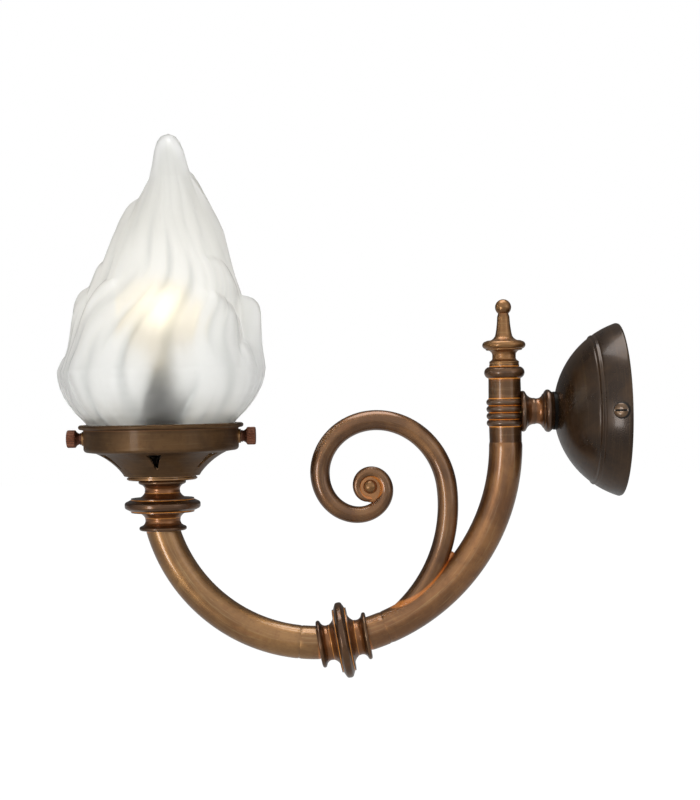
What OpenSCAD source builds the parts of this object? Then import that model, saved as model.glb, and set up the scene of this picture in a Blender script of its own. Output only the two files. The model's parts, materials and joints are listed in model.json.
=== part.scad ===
// Torch sconce: a turned and bent brass wall light with a flame-shaped glass shade.
// Millimetres. The wall is the plane X = 0 with the rose's centre at the origin,
// Z is up, and the light stands out along -X with its whole arm in the plane Y = 0.

/* [Arm] */
// Outside diameter of the bent arm tube
tube_d = 19; // [17:0.5:20]
// Wall of the arm tube
tube_wall = 1.5; // [1.2:0.1:2]
// Radius of the bend between the post and the knop
right_bend_r = 112.7; // [108:0.5:120]
// Radius of the bend between the knop and the collar
left_bend_r = 91; // [86:0.5:96]
// Tilt of the knop's axis, rising towards the wall
knop_tilt = 9.3; // [6:0.1:12]
// Lean of the tube's end from upright where it meets the collar
collar_lean = 16; // [12:0.5:20]
// Distance along the arm from the knop's centre to the seam of each tube
ferrule_len = 25; // [20:0.5:30]
// Length of the spigots that plug into the tubes
spigot_len = 8; // [5:0.5:12]

/* [Turned knop and collar] */
// Diameter of the large middle disc
disc_d = 43.2; // [38:0.2:48]
// Diameter of the small end discs
end_disc_d = 27; // [25:0.2:30]
// Diameter of the waists between the discs
waist_d = 20.2; // [19:0.1:22]
// Length from end face to end face
knop_len = 28.8; // [26:0.2:32]

/* [Scroll] */
// Diameter of the scroll's rod at its root
scroll_d = 12; // [10:0.2:13]
// Diameter of the rod's tip, curled round the ball in the eye
scroll_tip_d = 4.8; // [4:0.2:5.6]
// Diameter of the ball in the eye
eye_ball_d = 9.8; // [8:0.2:11]
// How much tighter the stem bends than the arm that it springs from
stem_tighter = 29; // [25:0.5:33]
// Radius of the volute at its start
volute_start_r = 47.8; // [46:0.2:50]
// How far the volute's start lies inside the arm's bend
scroll_inset = 34.2; // [31:0.2:38]
// Drop from the right bend's centre to the volute's start
scroll_drop = 24.4; // [20:0.5:28]

/* [Post head and finial] */
// Distance from the wall to the post's axis
post_out = 64.4; // [60:0.2:70]
// Diameter of the post
post_d = 18.3; // [17:0.1:20]
// Height of the post's top above the neck's axis
post_top = 26.8; // [24:0.2:32]
// Drop of the post's lower end below the neck's axis
post_drop = 17.5; // [15:0.5:20]
// Diameter of the ring at the top of the post
ring_d = 23; // [21:0.2:25]
// Height of the ring's middle above the neck's axis
ring_h = 22.3; // [20:0.2:26]
// Number of reeds round the post
reed_count = 4; // [3:1:5]
// Spacing of the reeds
reed_pitch = 3.96; // [3.2:0.02:4.4]
// Outside diameter of the reeds
reed_d = 21.2; // [20:0.1:22]
// Height of the finial above the post
finial_h = 37.4; // [32:0.2:44]
// Diameter of the finial's disc
finial_disc_d = 24.6; // [20:0.2:27]
// Diameter of the finial's ball
finial_ball_d = 9.2; // [8:0.1:11]
// Diameter of the finial's threaded stud
stud_d = 6; // [5:0.5:6.5]

/* [Neck] */
// Diameter of the neck's flange against the post
neck_flange_d = 23.4; // [22:0.2:25]
// Diameter of the neck's waist
neck_waist_d = 15; // [13.6:0.2:17]
// Diameter of the neck's ring next to the rose
neck_ring_d = 24.4; // [22:0.2:26]
// Diameter of the dark washer between neck and rose
neck_washer_d = 21.8; // [20:0.2:24]
// Thickness of that washer at its middle
neck_washer_t = 0.7; // [0.5:0.1:1.5]
// Diameter of the two threaded tubes
nipple_d = 10; // [9:0.5:10.5]
// Bore of the two threaded tubes
nipple_bore = 7; // [6:0.5:7.5]

/* [Rose and bracket] */
// Diameter of the rose at the wall
rose_d = 99.2; // [94:0.2:106]
// Projection of the rose from the wall
rose_h = 36.3; // [32:0.1:40]
// Wall of the spun rose
rose_wall = 1.2; // [1:0.1:1.6]
// Distance from the wall to the rose's bead
bead_out = 15; // [12:0.5:20]
// Thickness of the rose's bead
bead_d = 2.2; // [1.6:0.1:3]
// Width of the wall bracket
bracket_w = 16; // [14:0.5:18]
// Thickness of the wall bracket
bracket_t = 2; // [1.5:0.1:2.4]
// Spacing of the two wall slots
slot_spacing = 50.8; // [48:0.2:56]
// End-to-end length of a wall slot
slot_len = 12; // [8:0.5:14]
// Width of a wall slot
slot_w = 4.5; // [4:0.1:5.5]
// Distance from the wall to the side screws, on the rose's face
side_screw_out = 5.8; // [5:0.1:7]
// Diameter of a side screw's thread
side_screw_d = 4; // [3:0.5:4]
// Diameter of a side screw's head
side_head_d = 9.3; // [7:0.1:10]

/* [Gallery] */
// Diameter of the gallery's band
band_d = 88.2; // [86:0.2:92]
// Diameter over the rolled lip
lip_d = 93.8; // [92:0.2:98]
// Height of the gallery
gallery_h = 29.6; // [28:0.2:34]
// Height of the band up to the lip's top
band_h = 14.4; // [13:0.2:17]
// Diameter of the cup under the band
cup_top_d = 74.8; // [70:0.2:78]
// Diameter of the cup's foot
cup_foot_d = 44; // [40:0.5:50]
// Wall of the spun gallery
gallery_wall = 1.2; // [0.9:0.1:1.4]
// Number of vents round the cup
vent_count = 6; // [4:1:8]
// Width of a vent at its top
vent_w = 9.2; // [5:0.1:11]
// Height of a vent
vent_h = 8.2; // [6:0.1:9]
// Diameter of the stepped washer under the cup
seat_washer_d = 40; // [34:0.5:42]
// Thickness of the stepped washer
seat_washer_t = 2.4; // [1.6:0.1:3.5]

/* [Thumb screws] */
// Diameter of a thumb screw's knurled head
thumb_d = 10.2; // [8:0.1:10.4]
// Length of the head
thumb_len = 7.1; // [5:0.1:9]
// Diameter of the screw's thread
thumb_thread_d = 3.6; // [3:0.1:4]
// Number of ridges in the knurl
knurl_count = 24; // [16:2:30]
// Diameter of the tapped boss on the band
boss_d = 8.1; // [7:0.1:9]
// Diameter of the loose washer under the head
thumb_washer_d = 6.8; // [6:0.1:8]
// Thickness of the loose washer
thumb_washer_t = 1.1; // [0.8:0.1:1.3]

/* [Shade] */
// Outside diameter of the glass neck
neck_glass_d = 82.5; // [80:0.1:83.5]
// Height of the flame above the gallery's lip
flame_h = 165.6; // [150:0.2:180]
// Diameter of the bowl at its widest, under the flame tongues
bowl_d = 113; // [106:0.5:118]
// Sideways lean of the flame's upper part towards the wall
flame_lean = 8; // [0:0.1:10]
// Thickness of the glass
glass_t = 3; // [2.4:0.1:3.6]
// How far the largest tongues stand out of the flame
tongue_depth = 9.9; // [6:0.1:11]

/* [Lampholder and bulb] */
// Diameter of the lampholder's lower body
holder_d = 21; // [19:0.5:26]
// Diameter of the lampholder's upper sleeve
sleeve_d = 18.6; // [17.6:0.1:18.8]
// Length of the lampholder
holder_len = 57.6; // [52:0.2:62]
// Diameter of the bulb's screw cap
cap_d = 13.9; // [13:0.1:14.2]
// Diameter of the bulb's round glass
bulb_d = 45; // [35:0.5:48]
// Diameter of the flex inside the arm
flex_d = 4; // [3:0.1:4.4]

/* [Hidden] */

$fn = 64;
eps = 0.02;        // clearance of a thread or a seat
running = 0.05;    // radial clearance of a running fit
over = 1;          // how far a cut runs past the face that it opens
arc_steps = 7;     // straight facets in a quarter of a turned curve

brass = [0.46, 0.31, 0.18];
dark_brass = [0.30, 0.24, 0.17];
copper = [0.52, 0.30, 0.16];
steel = [0.70, 0.70, 0.70];
black = [0.12, 0.12, 0.12];

// The arm's two bends meet at the knop's centre, tangent to its tilted axis.
tube_r = tube_d / 2;
tube_bore_r = tube_r - tube_wall;
spigot_r = tube_bore_r - running;
wire_bore_r = 5;
post_x = -post_out;
right_c = [post_x - right_bend_r, -post_drop];
knop_c = right_c + right_bend_r * [sin(knop_tilt), -cos(knop_tilt)];
left_c = knop_c + left_bend_r * [-sin(knop_tilt), cos(knop_tilt)];
axis_x = left_c[0] - left_bend_r * cos(collar_lean);
collar_z = left_c[1] - left_bend_r * sin(collar_lean);
knop_angle = 270 + knop_tilt;
left_seam = knop_angle - ferrule_len / left_bend_r * 180 / PI;
right_seam = knop_angle + ferrule_len / right_bend_r * 180 / PI;

// What stands on the collar, from the bottom up.
washer_z = collar_z + knop_len;
gallery_z = washer_z + seat_washer_t;
vent_tip_w = 1.5;
lip_z = gallery_z + gallery_h;
ledge_z = lip_z - band_h + gallery_wall;
screw_z = lip_z - band_h / 2 - 0.6;
nut_t = 3;
holder_z = gallery_z + gallery_wall + nut_t + 0.2;
holder_base_t = 4;
insert_z = holder_z + holder_base_t + 1;
cap_h = 20;
cap_floor = 5;
cap_proud = 1.5;
cap_z = holder_z + holder_len + cap_proud - cap_h;
insert_h = cap_z - insert_z - 0.1;
bulb_neck_h = 4;
bulb_z = cap_z + cap_h + bulb_neck_h + bulb_d / 2;
band_r = band_d / 2;
band_bore_r = band_r - gallery_wall;
neck_glass_r = neck_glass_d / 2;
glass_foot_z = ledge_z + 0.3;
boss_spigot_r = 2.9;
boss_end = band_r + 1.2;
thumb_washer_start = boss_end + 0.2;
thumb_start = thumb_washer_start + thumb_washer_t + 0.2;
thumb_tip = neck_glass_r + 0.3;

// What stands on the wall, from the wall out.
rose_r = rose_d / 2;
rose_ball_r = (rose_r * rose_r + rose_h * rose_h) / (2 * rose_h);
rose_ball_x = rose_ball_r - rose_h;
rose_inner_r = rose_ball_r - rose_wall;
neck_end_x = -(rose_h + neck_washer_t);
spot_face_depth = 0.6;
post_flat_x = post_x + post_d / 2 - spot_face_depth;
stud_len = 10;
nipple_r = nipple_d / 2;
nipple_start_x = post_x + 6.9;
nut_washer_r = 8;
nut_washer_t = 1.5;
nut_seat_x = rose_ball_x - sqrt(pow(rose_inner_r, 2) - pow(nut_washer_r, 2)) + eps;
nut_x = nut_seat_x + nut_washer_t + eps;
neck_nut_t = 4;
nipple_end_x = nut_x + neck_nut_t + 2.5;
block_size = [13, 26, 17];
block_x = -bracket_t - block_size[0];
pole_y = [-8.5, 0, 8.5];
earth_y = 38;
earth_d = 4;
screw_tilt = asin((rose_ball_x + side_screw_out) / rose_ball_r);
lug_gap = 1.6;
lug_d = rose_inner_r - lug_gap;
side_screw_len = rose_wall + lug_gap + bracket_t + 0.5;
ear_past_screw = 1.5 * side_screw_d;

// ---- Points of turned profiles: [radius, height] ----

// An arc from p to q that swells to the right of its chord by sag (negative hollows it)
function arc_between(p, q, sag, steps = arc_steps) =
    let (chord = norm(q - p), s = abs(sag), r = chord * chord / (8 * s) + s / 2,
         along = (q - p) / chord, side = [along[1], -along[0]] * sign(sag),
         c = (p + q) / 2 + side * (s - r), half = asin(chord / 2 / r))
    [for (i = [0 : steps])
        let (a = half * (2 * i / steps - 1)) c + r * (side * cos(a) + along * sin(a))];

// A quarter or half round from one angle to another about a centre
function round_points(c, r, a0, a1, steps = arc_steps) =
    [for (i = [0 : steps]) let (a = a0 + (a1 - a0) * i / steps) c + r * [cos(a), sin(a)]];

// The same open outline moved to its left by t, with mitred corners
function inset(p, t) =
    let (n = len(p) - 1,
         e = [for (i = [0 : n - 1]) (p[i + 1] - p[i]) / norm(p[i + 1] - p[i])],
         nrm = [for (v = e) [-v[1], v[0]]])
    [for (i = [0 : n])
        let (a = nrm[max(i - 1, 0)], b = nrm[min(i, n - 1)]) p[i] + t * (a + b) / (1 + a * b)];

function reversed(p) = [for (i = [len(p) - 1 : -1 : 0]) p[i]];

module turned(points) {
    top = points[len(points) - 1][1];
    rotate_extrude() polygon(concat([[0, points[0][1]]], points, [[0, top]]));
}

// Turns +Z towards the wall along +X
module along_x(x) { translate([x, 0, 0]) rotate([0, 90, 0]) children(); }

// A bent round bar in the plane Y = 0, from angle a0 to a1 about c
module bend(c, bend_r, bar_r, a0, a1) {
    translate([c[0], 0, c[1]]) rotate([90, 0, 0]) rotate([0, 0, a0])
        rotate_extrude(angle = a1 - a0) translate([bend_r, 0]) circle(r = bar_r);
}

function degrees_of(length, bend_r) = length / bend_r * 180 / PI;

// ---- Turned double-waisted body of the collar and the knop, lying on +Z from 0 ----

function half_knop() =
    let (e = end_disc_d / 2, w = waist_d / 2, d = disc_d / 2, h = knop_len / 2,
         edge = 1.2, rim = 1.7, ledge = d - 3.6)
    concat(round_points([e - edge, edge], edge, -90, 60, 5),
        arc_between([e - 1.4, 2.6], [w, h - 7.8], -0.9),
        arc_between([w, h - 7.2], [ledge - 0.9, h - 4], -1.3),
        [[ledge, h - 4], [ledge, h - 3.3]],
        round_points([d - rim, h - 0.5], rim, -60, 0, 5));

module knop_body() {
    low = half_knop();
    high = [for (p = reversed(low)) [p[0], knop_len - p[1]]];
    turned(concat(low, high));
}

// ---- Wall side ----

module wall_bracket() {
    along = [cos(screw_tilt), -sin(screw_tilt)];
    screw_at = [rose_ball_x, 0] - lug_d * [sin(screw_tilt), cos(screw_tilt)];
    corner = screw_at - along * screw_at[0] / along[0];
    tip = screw_at - along * ear_past_screw;
    outline = [tip, corner, [corner[0], -corner[1]], [tip[0], -tip[1]]];
    color(steel) difference() {
        translate([0, 0, -bracket_w / 2]) linear_extrude(bracket_w)
            polygon(concat(outline, reversed(inset(outline, bracket_t))));
        for (s = [-1, 1]) {
            translate([0, s * slot_spacing / 2, 0]) wall_slot();
            side_screw_axis(s) cylinder(h = 2 * side_screw_len + 0.6,
                r = side_screw_d / 2 + eps, center = true);
        }
        along_x(-bracket_t - over) translate([0, earth_y, 0])
            cylinder(h = bracket_t + 2 * over, r = earth_d / 2 + eps);
    }
}

module wall_slot() {
    run = slot_len - slot_w;
    along_x(-bracket_t - over) linear_extrude(bracket_t + 2 * over) {
        square([slot_w, run], center = true);
        for (s = [-1, 1]) translate([0, s * run / 2]) circle(d = slot_w);
    }
}

// Places things on the axis of a side screw, with +Z out of the rose's face
module side_screw_axis(s) {
    translate([rose_ball_x, 0, 0]) rotate([-90 * s, 0, 0]) rotate([0, -screw_tilt, 0])
        translate([0, 0, rose_ball_r]) children();
}

module backplate() {
    bead_r = sqrt(pow(rose_ball_r, 2) - pow(rose_ball_x + bead_out, 2));
    color(dark_brass) difference() {
        union() {
            difference() {
                translate([rose_ball_x, 0, 0]) rotate([0, 90, 0]) sphere(r = rose_ball_r, $fn = 128);
                translate([rose_ball_x, 0, 0]) rotate([0, 90, 0])
                    sphere(r = rose_inner_r, $fn = 128);
                translate([0, -rose_ball_r - over, -rose_ball_r - over])
                    cube(2 * (rose_ball_r + over));
            }
            along_x(-bead_out) rotate_extrude($fn = 128) translate([bead_r - 0.35, 0])
                circle(d = bead_d, $fn = 24);
        }
        along_x(-rose_h - over) cylinder(h = rose_h / 2, r = nipple_r + running);
        for (s = [-1, 1]) side_screw_axis(s)
            cylinder(h = 4 * rose_wall, r = side_screw_d / 2 + 0.2, center = true);
    }
}

module side_screws() {
    head_h = side_head_d * 0.3;
    head_r = side_head_d / 2;
    color(copper) for (s = [-1, 1]) side_screw_axis(s) difference() {
        union() {
            turned(concat([[head_r, 0]],
                arc_between([head_r, 0.5], [1, head_h], 0.8)));
            translate([0, 0, -side_screw_len]) cylinder(h = side_screw_len, d = side_screw_d);
        }
        translate([0, 0, head_h]) cube([side_head_d + over, 1.1, 2 * 1.2], center = true);
    }
}

module terminal_block() {
    color([0.85, 0.85, 0.82]) difference() {
        translate([block_x, -block_size[1] / 2, -block_size[2] / 2])
            cube(block_size);
        for (y = pole_y, z = [-1, 1]) along_x(block_x - over)
            translate([-z * block_size[2] / 4, y, 0]) cylinder(h = 6 + over, r = 2.4);
        for (y = pole_y) translate([-bracket_t - block_size[0] / 2, y, 0])
            cylinder(h = block_size[2] + 2 * over, r = 1.7, center = true);
        for (s = [-1, 1]) translate([-bracket_t - block_size[0] / 2, s * 4.25, 0])
            cube([2 * block_size[0], 1.6, 4], center = true);
    }
}

module terminal_screws() {
    top_x = block_x + 1.5;
    color(brass) for (y = pole_y, z = [-1, 1])
        along_x(top_x) translate([-z * block_size[2] / 4, y, 0]) difference() {
            cylinder(h = 4.5 - eps, r = 1.9);
            cube([4, 0.7, 1.6], center = true);
        }
}

module earth_screw() {
    head_h = 2.4;
    color(brass) along_x(-bracket_t) translate([0, earth_y, 0]) difference() {
        union() {
            translate([0, 0, -head_h]) cylinder(h = head_h, d = 7.5);
            cylinder(h = bracket_t - 0.1, d = earth_d);
        }
        translate([0, 0, -head_h]) cube([9, 1, 2], center = true);
    }
}

// ---- Neck ----

module neck_nipple() {
    color(brass) along_x(nipple_start_x) pipe(nipple_r, nipple_bore / 2,
        nipple_end_x - nipple_start_x);
}

module pipe(r, bore, length) {
    difference() {
        cylinder(h = length, r = r);
        translate([0, 0, -over]) cylinder(h = length + 2 * over, r = bore);
    }
}

module nipple_nut() {
    color(brass) along_x(nut_x) difference() {
        cylinder(h = neck_nut_t, d = 17 / cos(30), $fn = 6);
        translate([0, 0, -over]) cylinder(h = neck_nut_t + 2 * over, r = nipple_r + eps);
    }
}

module nut_washer() {
    color(steel) along_x(nut_seat_x) pipe(nut_washer_r, nipple_r + running, nut_washer_t);
}

module cable_bush() {
    bore = flex_d / 2 + 0.2;
    color(black) along_x(nipple_end_x) {
        difference() {
            union() {
                translate([0, 0, eps]) cylinder(h = 1.6, r = nipple_r + 0.8);
                translate([0, 0, -2.2]) cylinder(h = 3, r = nipple_bore / 2 - eps);
            }
            translate([0, 0, -2.2 - over]) cylinder(h = 3.8 + 2 * over, r = bore);
        }
    }
}

module neck_washer() {
    color(black) difference() {
        along_x(neck_end_x + eps) cylinder(h = neck_washer_t + 2, d = neck_washer_d);
        translate([rose_ball_x, 0, 0]) rotate([0, 90, 0])
            sphere(r = rose_ball_r + eps, $fn = 128);
        along_x(neck_end_x - over) cylinder(h = 6, r = nipple_r + running);
    }
}

module neck_spool() {
    len = neck_end_x - post_flat_x - 2 * eps;
    f = neck_flange_d / 2;
    w = neck_waist_d / 2;
    r = neck_ring_d / 2;
    ring_at = len - 3;
    profile = concat(
        round_points([f - 1.6, 1.6], 1.6, -90, 60, 5), [[f - 2, 3.6]],
        arc_between([f - 2.2, 3.8], [w, 7.6], -0.5), arc_between([w, 8.1], [r - 2.6, ring_at - 3], -1.1),
        [[r - 2.2, ring_at - 2.4]], round_points([r - 2, ring_at], 2, -70, 60, 6),
        [[r - 1.8, len]]);
    color(brass) along_x(post_flat_x + eps) difference() {
        turned(profile);
        translate([0, 0, -over]) cylinder(h = len + 2 * over, r = nipple_r + eps);
    }
}

// ---- Post ----

module post_head() {
    r = post_d / 2;
    reed_r = reed_pitch / 2;
    reeds_z = -0.5;
    color(brass) difference() {
        union() {
            translate([post_x, 0, 0]) turned(concat(
                [[r, -post_drop]],
                [for (i = [0 : reed_count - 1])
                    let (z = reeds_z + (i - (reed_count - 1) / 2) * reed_pitch)
                    each concat([[r, z - reed_r]],
                        arc_between([r + 0.1, z - reed_r + 0.15], [r + 0.1, z + reed_r - 0.15],
                            reed_d / 2 - r - 0.1, 6))],
                [[r, reeds_z + reed_count / 2 * reed_pitch]],
                [[r, ring_h - 3.4]],
                arc_between([r + 0.2, ring_h - 3.2], [r + 0.2, ring_h + 3.2],
                    ring_d / 2 - r - 0.2, 10),
                [[r - 0.6, ring_h + 3.2], [r - 0.6, post_top]]));
            bend(right_c, right_bend_r, spigot_r, -degrees_of(spigot_len, right_bend_r), 0);
        }
        translate([post_x, 0, -post_drop]) cylinder(h = post_drop + 5, r = wire_bore_r + 0.6);
        bend(right_c, right_bend_r, wire_bore_r, -degrees_of(spigot_len + over, right_bend_r), 0.5);
        along_x(post_x) cylinder(h = post_d, r = nipple_r + eps);
        along_x(post_flat_x) cylinder(h = post_d, d = neck_flange_d + 0.4);
        translate([post_x, 0, post_top - stud_len]) cylinder(h = stud_len + over, r = stud_d / 2 + eps);
    }
}

module finial() {
    d = finial_disc_d / 2;
    b = finial_ball_d / 2;
    w = 6.7;
    disc_h = finial_h * 0.3;
    stem_h = disc_h + 6.6;
    neck_h = finial_h - finial_ball_d + 0.6;
    profile = concat(
        [[8.4, 0]], round_points([7.6, 1.3], 0.9, -30, 70, 4),
        arc_between([7.6, 2.4], [w, 4.2], -0.3, 4), arc_between([w, 5], [d - 2.4, disc_h - 3], -1.1),
        [[d - 1.9, disc_h - 2.6], [d - 1.9, disc_h - 1.9]],
        round_points([d - 1.6, disc_h], 1.6, -60, 70, 6),
        arc_between([d - 2.6, disc_h + 2], [4.6, stem_h], -1.4),
        arc_between([4.5, stem_h + 0.4], [3.55, neck_h - 1.5], -0.15, 5),
        round_points([0, finial_h - b], b, -50, 89, 10));
    color(brass) translate([post_x, 0, post_top + eps]) {
        turned(profile);
        translate([0, 0, 0.4 - stud_len]) cylinder(h = stud_len, d = stud_d);
    }
}

// ---- Arm ----

module right_arm() {
    color(brass) difference() {
        bend(right_c, right_bend_r, tube_r, right_seam, 360);
        bend(right_c, right_bend_r, tube_bore_r, right_seam - 2, 362);
    }
}

module left_arm() {
    a0 = 180 + collar_lean;
    color(brass) difference() {
        bend(left_c, left_bend_r, tube_r, a0 - 4, left_seam);
        bend(left_c, left_bend_r, tube_bore_r, a0 - 6, left_seam + 2);
        translate([axis_x, 0, collar_z - eps + tube_d]) cube(2 * tube_d, center = true);
    }
}

module knop() {
    start = knop_len / 2 - 1.6;
    l0 = knop_angle - degrees_of(start, left_bend_r);
    r0 = knop_angle + degrees_of(start, right_bend_r);
    l1 = left_seam - degrees_of(spigot_len, left_bend_r);
    r1 = right_seam + degrees_of(spigot_len, right_bend_r);
    color(brass) difference() {
        union() {
            translate([knop_c[0], 0, knop_c[1]]) rotate([0, 90 - knop_tilt, 0])
                translate([0, 0, -knop_len / 2]) knop_body();
            bend(left_c, left_bend_r, tube_r, left_seam, l0);
            bend(right_c, right_bend_r, tube_r, r0, right_seam);
            bend(left_c, left_bend_r, spigot_r, l1, l0);
            bend(right_c, right_bend_r, spigot_r, r0, r1);
        }
        translate([knop_c[0], 0, knop_c[1]]) rotate([0, 90 - knop_tilt, 0])
            cylinder(h = knop_len - 6, r = wire_bore_r, center = true);
        bend(left_c, left_bend_r, wire_bore_r, l1 - 1,
            knop_angle - degrees_of(knop_len / 2 - 6, left_bend_r));
        bend(right_c, right_bend_r, wire_bore_r,
            knop_angle + degrees_of(knop_len / 2 - 6, right_bend_r), r1 + 1);
    }
}

module collar() {
    a0 = 180 + collar_lean;
    nipple_depth = 12;
    color(brass) difference() {
        union() {
            translate([axis_x, 0, collar_z]) knop_body();
            bend(left_c, left_bend_r, spigot_r, a0 - 1.5, a0 + degrees_of(spigot_len, left_bend_r));
        }
        translate([axis_x, 0, washer_z - nipple_depth])
            cylinder(h = nipple_depth + over, r = nipple_r + eps);
        translate([axis_x, 0, collar_z - over]) cylinder(h = knop_len, r = wire_bore_r - 0.5);
        bend(left_c, left_bend_r, wire_bore_r, a0 - 0.5,
            a0 + degrees_of(spigot_len + over, left_bend_r));
    }
}

// ---- Scroll ----

// Heading of the rod where the volute starts, and the radius of its bend after each quarter
// turn: it draws in for four quarters and then runs almost round about the ball
volute_heading = 96.6;
volute_r = [volute_start_r, 34.6, 26.3, 18.1, 11.2, 7.4, 8.3, 4.7];
volute_sweep = 612;
taper_from = 190;
scroll_step = 9;
stem_r = right_bend_r - stem_tighter;
volute_start = right_c + [right_bend_r - scroll_inset, -scroll_drop];
stem_c = volute_start + stem_r * [-sin(volute_heading), cos(volute_heading)];
stem_gap = norm(stem_c - right_c);
stem_lead = acos((pow(right_bend_r, 2) - pow(stem_gap, 2) - pow(stem_r, 2)) / (2 * stem_r * stem_gap));
stem_root = atan2(stem_c[1] - right_c[1], stem_c[0] - right_c[0]) + stem_lead;

function bend_radius(turned_by) = 
    lookup(turned_by, [for (i = [0 : len(volute_r) - 1]) [90 * i, volute_r[i]]]);

// Centre line: the stem as one arc, then short steps along the volute
function stem_points() =
    let (last = volute_heading - 90, n = ceil((last - stem_root) / scroll_step))
    [for (i = [0 : n - 1])
        let (a = stem_root + (last - stem_root) * i / n) stem_c + stem_r * [cos(a), sin(a)]];

function volute_points() =
    let (h = scroll_step)
    [for (a = 0, p = volute_start; a <= volute_sweep;
          p = p + bend_radius(a + h / 2) * h * PI / 180 * [cos(volute_heading + a + h / 2),
              sin(volute_heading + a + h / 2)], a = a + h) p];

// A round rod of changing thickness along points in the plane Y = 0
module rod(points, radii, sides = 16) {
    n = len(points);
    leg = [for (i = [0 : n - 2]) (points[i + 1] - points[i]) / norm(points[i + 1] - points[i])];
    heading = [for (i = [0 : n - 1]) let (d = leg[max(i - 1, 0)] + leg[min(i, n - 2)]) atan2(d[1], d[0])];
    rings = [for (i = [0 : n - 1], k = [0 : sides - 1])
        let (a = 360 * k / sides, h = heading[i], r = radii[i])
        [points[i][0] - r * cos(a) * sin(h), r * sin(a), points[i][1] + r * cos(a) * cos(h)]];
    sides_faces = [for (i = [0 : n - 2], k = [0 : sides - 1])
        let (a = i * sides + k, b = i * sides + (k + 1) % sides)
        each [[a, b, a + sides], [b, b + sides, a + sides]]];
    caps = [[for (k = [sides - 1 : -1 : 0]) k], [for (k = [0 : sides - 1]) (n - 1) * sides + k]];
    polyhedron(rings, concat(sides_faces, caps));
}

// Thickness of the rod at a part of the way round the volute, full at first and then tapered
function rod_radius(a) =
    let (t = max(0, (a - taper_from) / (volute_sweep - taper_from)))
    scroll_d / 2 - (scroll_d - scroll_tip_d) / 2 * pow(t, 0.8);

module scroll() {
    stem = stem_points();
    volute = volute_points();
    n = len(volute) - 1;
    radii = concat([for (p = stem) scroll_d / 2], [for (i = [0 : n]) rod_radius(i * scroll_step)]);
    // The ball stands in the middle of the last full turn
    turn = 360 / scroll_step;
    ring = [for (i = [n - turn + 1 : n]) volute[i]];
    eye = [for (axis = [0, 1]) [for (p = ring) p[axis]] * [for (p = ring) 1] / turn];
    color(copper) {
        difference() {
            rod(concat(stem, volute), radii, 14);
            bend(right_c, right_bend_r, tube_r + eps, stem_root + 250, 375);
        }
        translate([eye[0], 0, eye[1]]) sphere(d = eye_ball_d, $fn = 24);
    }
}

// ---- Gallery ----

module seat_washer() {
    r = seat_washer_d / 2;
    color(brass) translate([axis_x, 0, washer_z + eps]) difference() {
        turned([[r - 0.9, 0], [r, 0.5], [r, seat_washer_t * 0.55], [r - 0.7, seat_washer_t * 0.7],
            [r - 0.7, seat_washer_t - eps]]);
        translate([0, 0, -over]) cylinder(h = seat_washer_t + 2 * over, r = nipple_r + running);
    }
}

function gallery_outline() =
    let (f = cup_foot_d / 2, c = cup_top_d / 2, base = gallery_h - band_h)
    concat([[nipple_r + running, 0], [f - 0.6, 0], [f, 0.8]],
        arc_between([f + 0.3, 1.4], [c, base - 1.8], -1.2),
        round_points([band_r - 2.2, base + 1], 2.2, -75, 0, 4));

module gallery() {
    core = gallery_outline();
    lip_r = lip_d / 2;
    top = gallery_h;
    lip = concat([[band_r, top - 2.9]],
        round_points([lip_r - 1.3, top - 1.3], 1.3, -80, 100, 8));
    inner = inset(core, gallery_wall);
    color(brass) translate([axis_x, 0, gallery_z]) difference() {
        rotate_extrude($fn = 128) polygon(concat(core, lip,
            [[band_bore_r + 0.3, top], [band_bore_r, top - 0.3]], reversed(inner)));
        for (i = [0 : vent_count - 1]) rotate([0, 0, -90 + i * 360 / vent_count]) vent();
        rotate([0, 90, 0]) translate([-(screw_z - gallery_z), 0, 0])
            cylinder(h = band_d + 2 * over, r = boss_spigot_r + eps, center = true);
    }
}

// One vent, cut outwards: broad at the top, with hollow sides, and drawn to a narrow blunt tip
module vent() {
    top = gallery_h - band_h - 2.4;
    half = vent_w / 2;
    side = arc_between([half, top], [vent_tip_w / 2, top - vent_h], vent_w / 6, 5);
    rotate([90, 0, 90]) translate([0, 0, cup_foot_d / 2 - 8]) linear_extrude(cup_top_d / 2)
        polygon(concat([for (p = reversed(side)) [-p[0], p[1]]], side));
}

// Places things on a thumb screw's axis, with +Z away from the gallery's axis
module thumb_axis(side) {
    translate([axis_x, 0, screw_z]) rotate([0, side * 90, 0]) children();
}

module screw_bosses() {
    color(brass) for (side = [-1, 1]) thumb_axis(side) difference() {
        union() {
            difference() {
                translate([0, 0, band_r - 1]) cylinder(h = boss_end - band_r + 1, d = boss_d);
                rotate([0, 90, 0]) cylinder(h = 2 * boss_d, r = band_r + eps, center = true, $fn = 128);
            }
            translate([0, 0, band_bore_r]) cylinder(h = gallery_wall + 1, r = boss_spigot_r);
        }
        translate([0, 0, band_bore_r - over]) cylinder(h = 6, r = thumb_thread_d / 2 + running);
    }
}

module thumb_washer(side) {
    color(brass) thumb_axis(side) translate([0, 0, thumb_washer_start])
        pipe(thumb_washer_d / 2, thumb_thread_d / 2 + running, thumb_washer_t);
}

module thumb_screw(side) {
    r = thumb_d / 2;
    chamfer = 2.2;
    depth = 0.4;
    knurl = [for (i = [0 : 2 * knurl_count - 1])
        (r - depth * (i % 2)) * [cos(180 * i / knurl_count), sin(180 * i / knurl_count)]];
    color(copper) thumb_axis(side) {
        translate([0, 0, thumb_tip]) cylinder(h = thumb_start - thumb_tip + 1, d = thumb_thread_d);
        translate([0, 0, thumb_start]) intersection() {
            linear_extrude(thumb_len) polygon(knurl);
            turned([[thumb_washer_d / 2 - 0.3, 0], [r, chamfer], [r + 0.2, chamfer + 0.4],
                [r + 0.2, thumb_len - 0.7], [r - 0.9, thumb_len]]);
        }
    }
}

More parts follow.
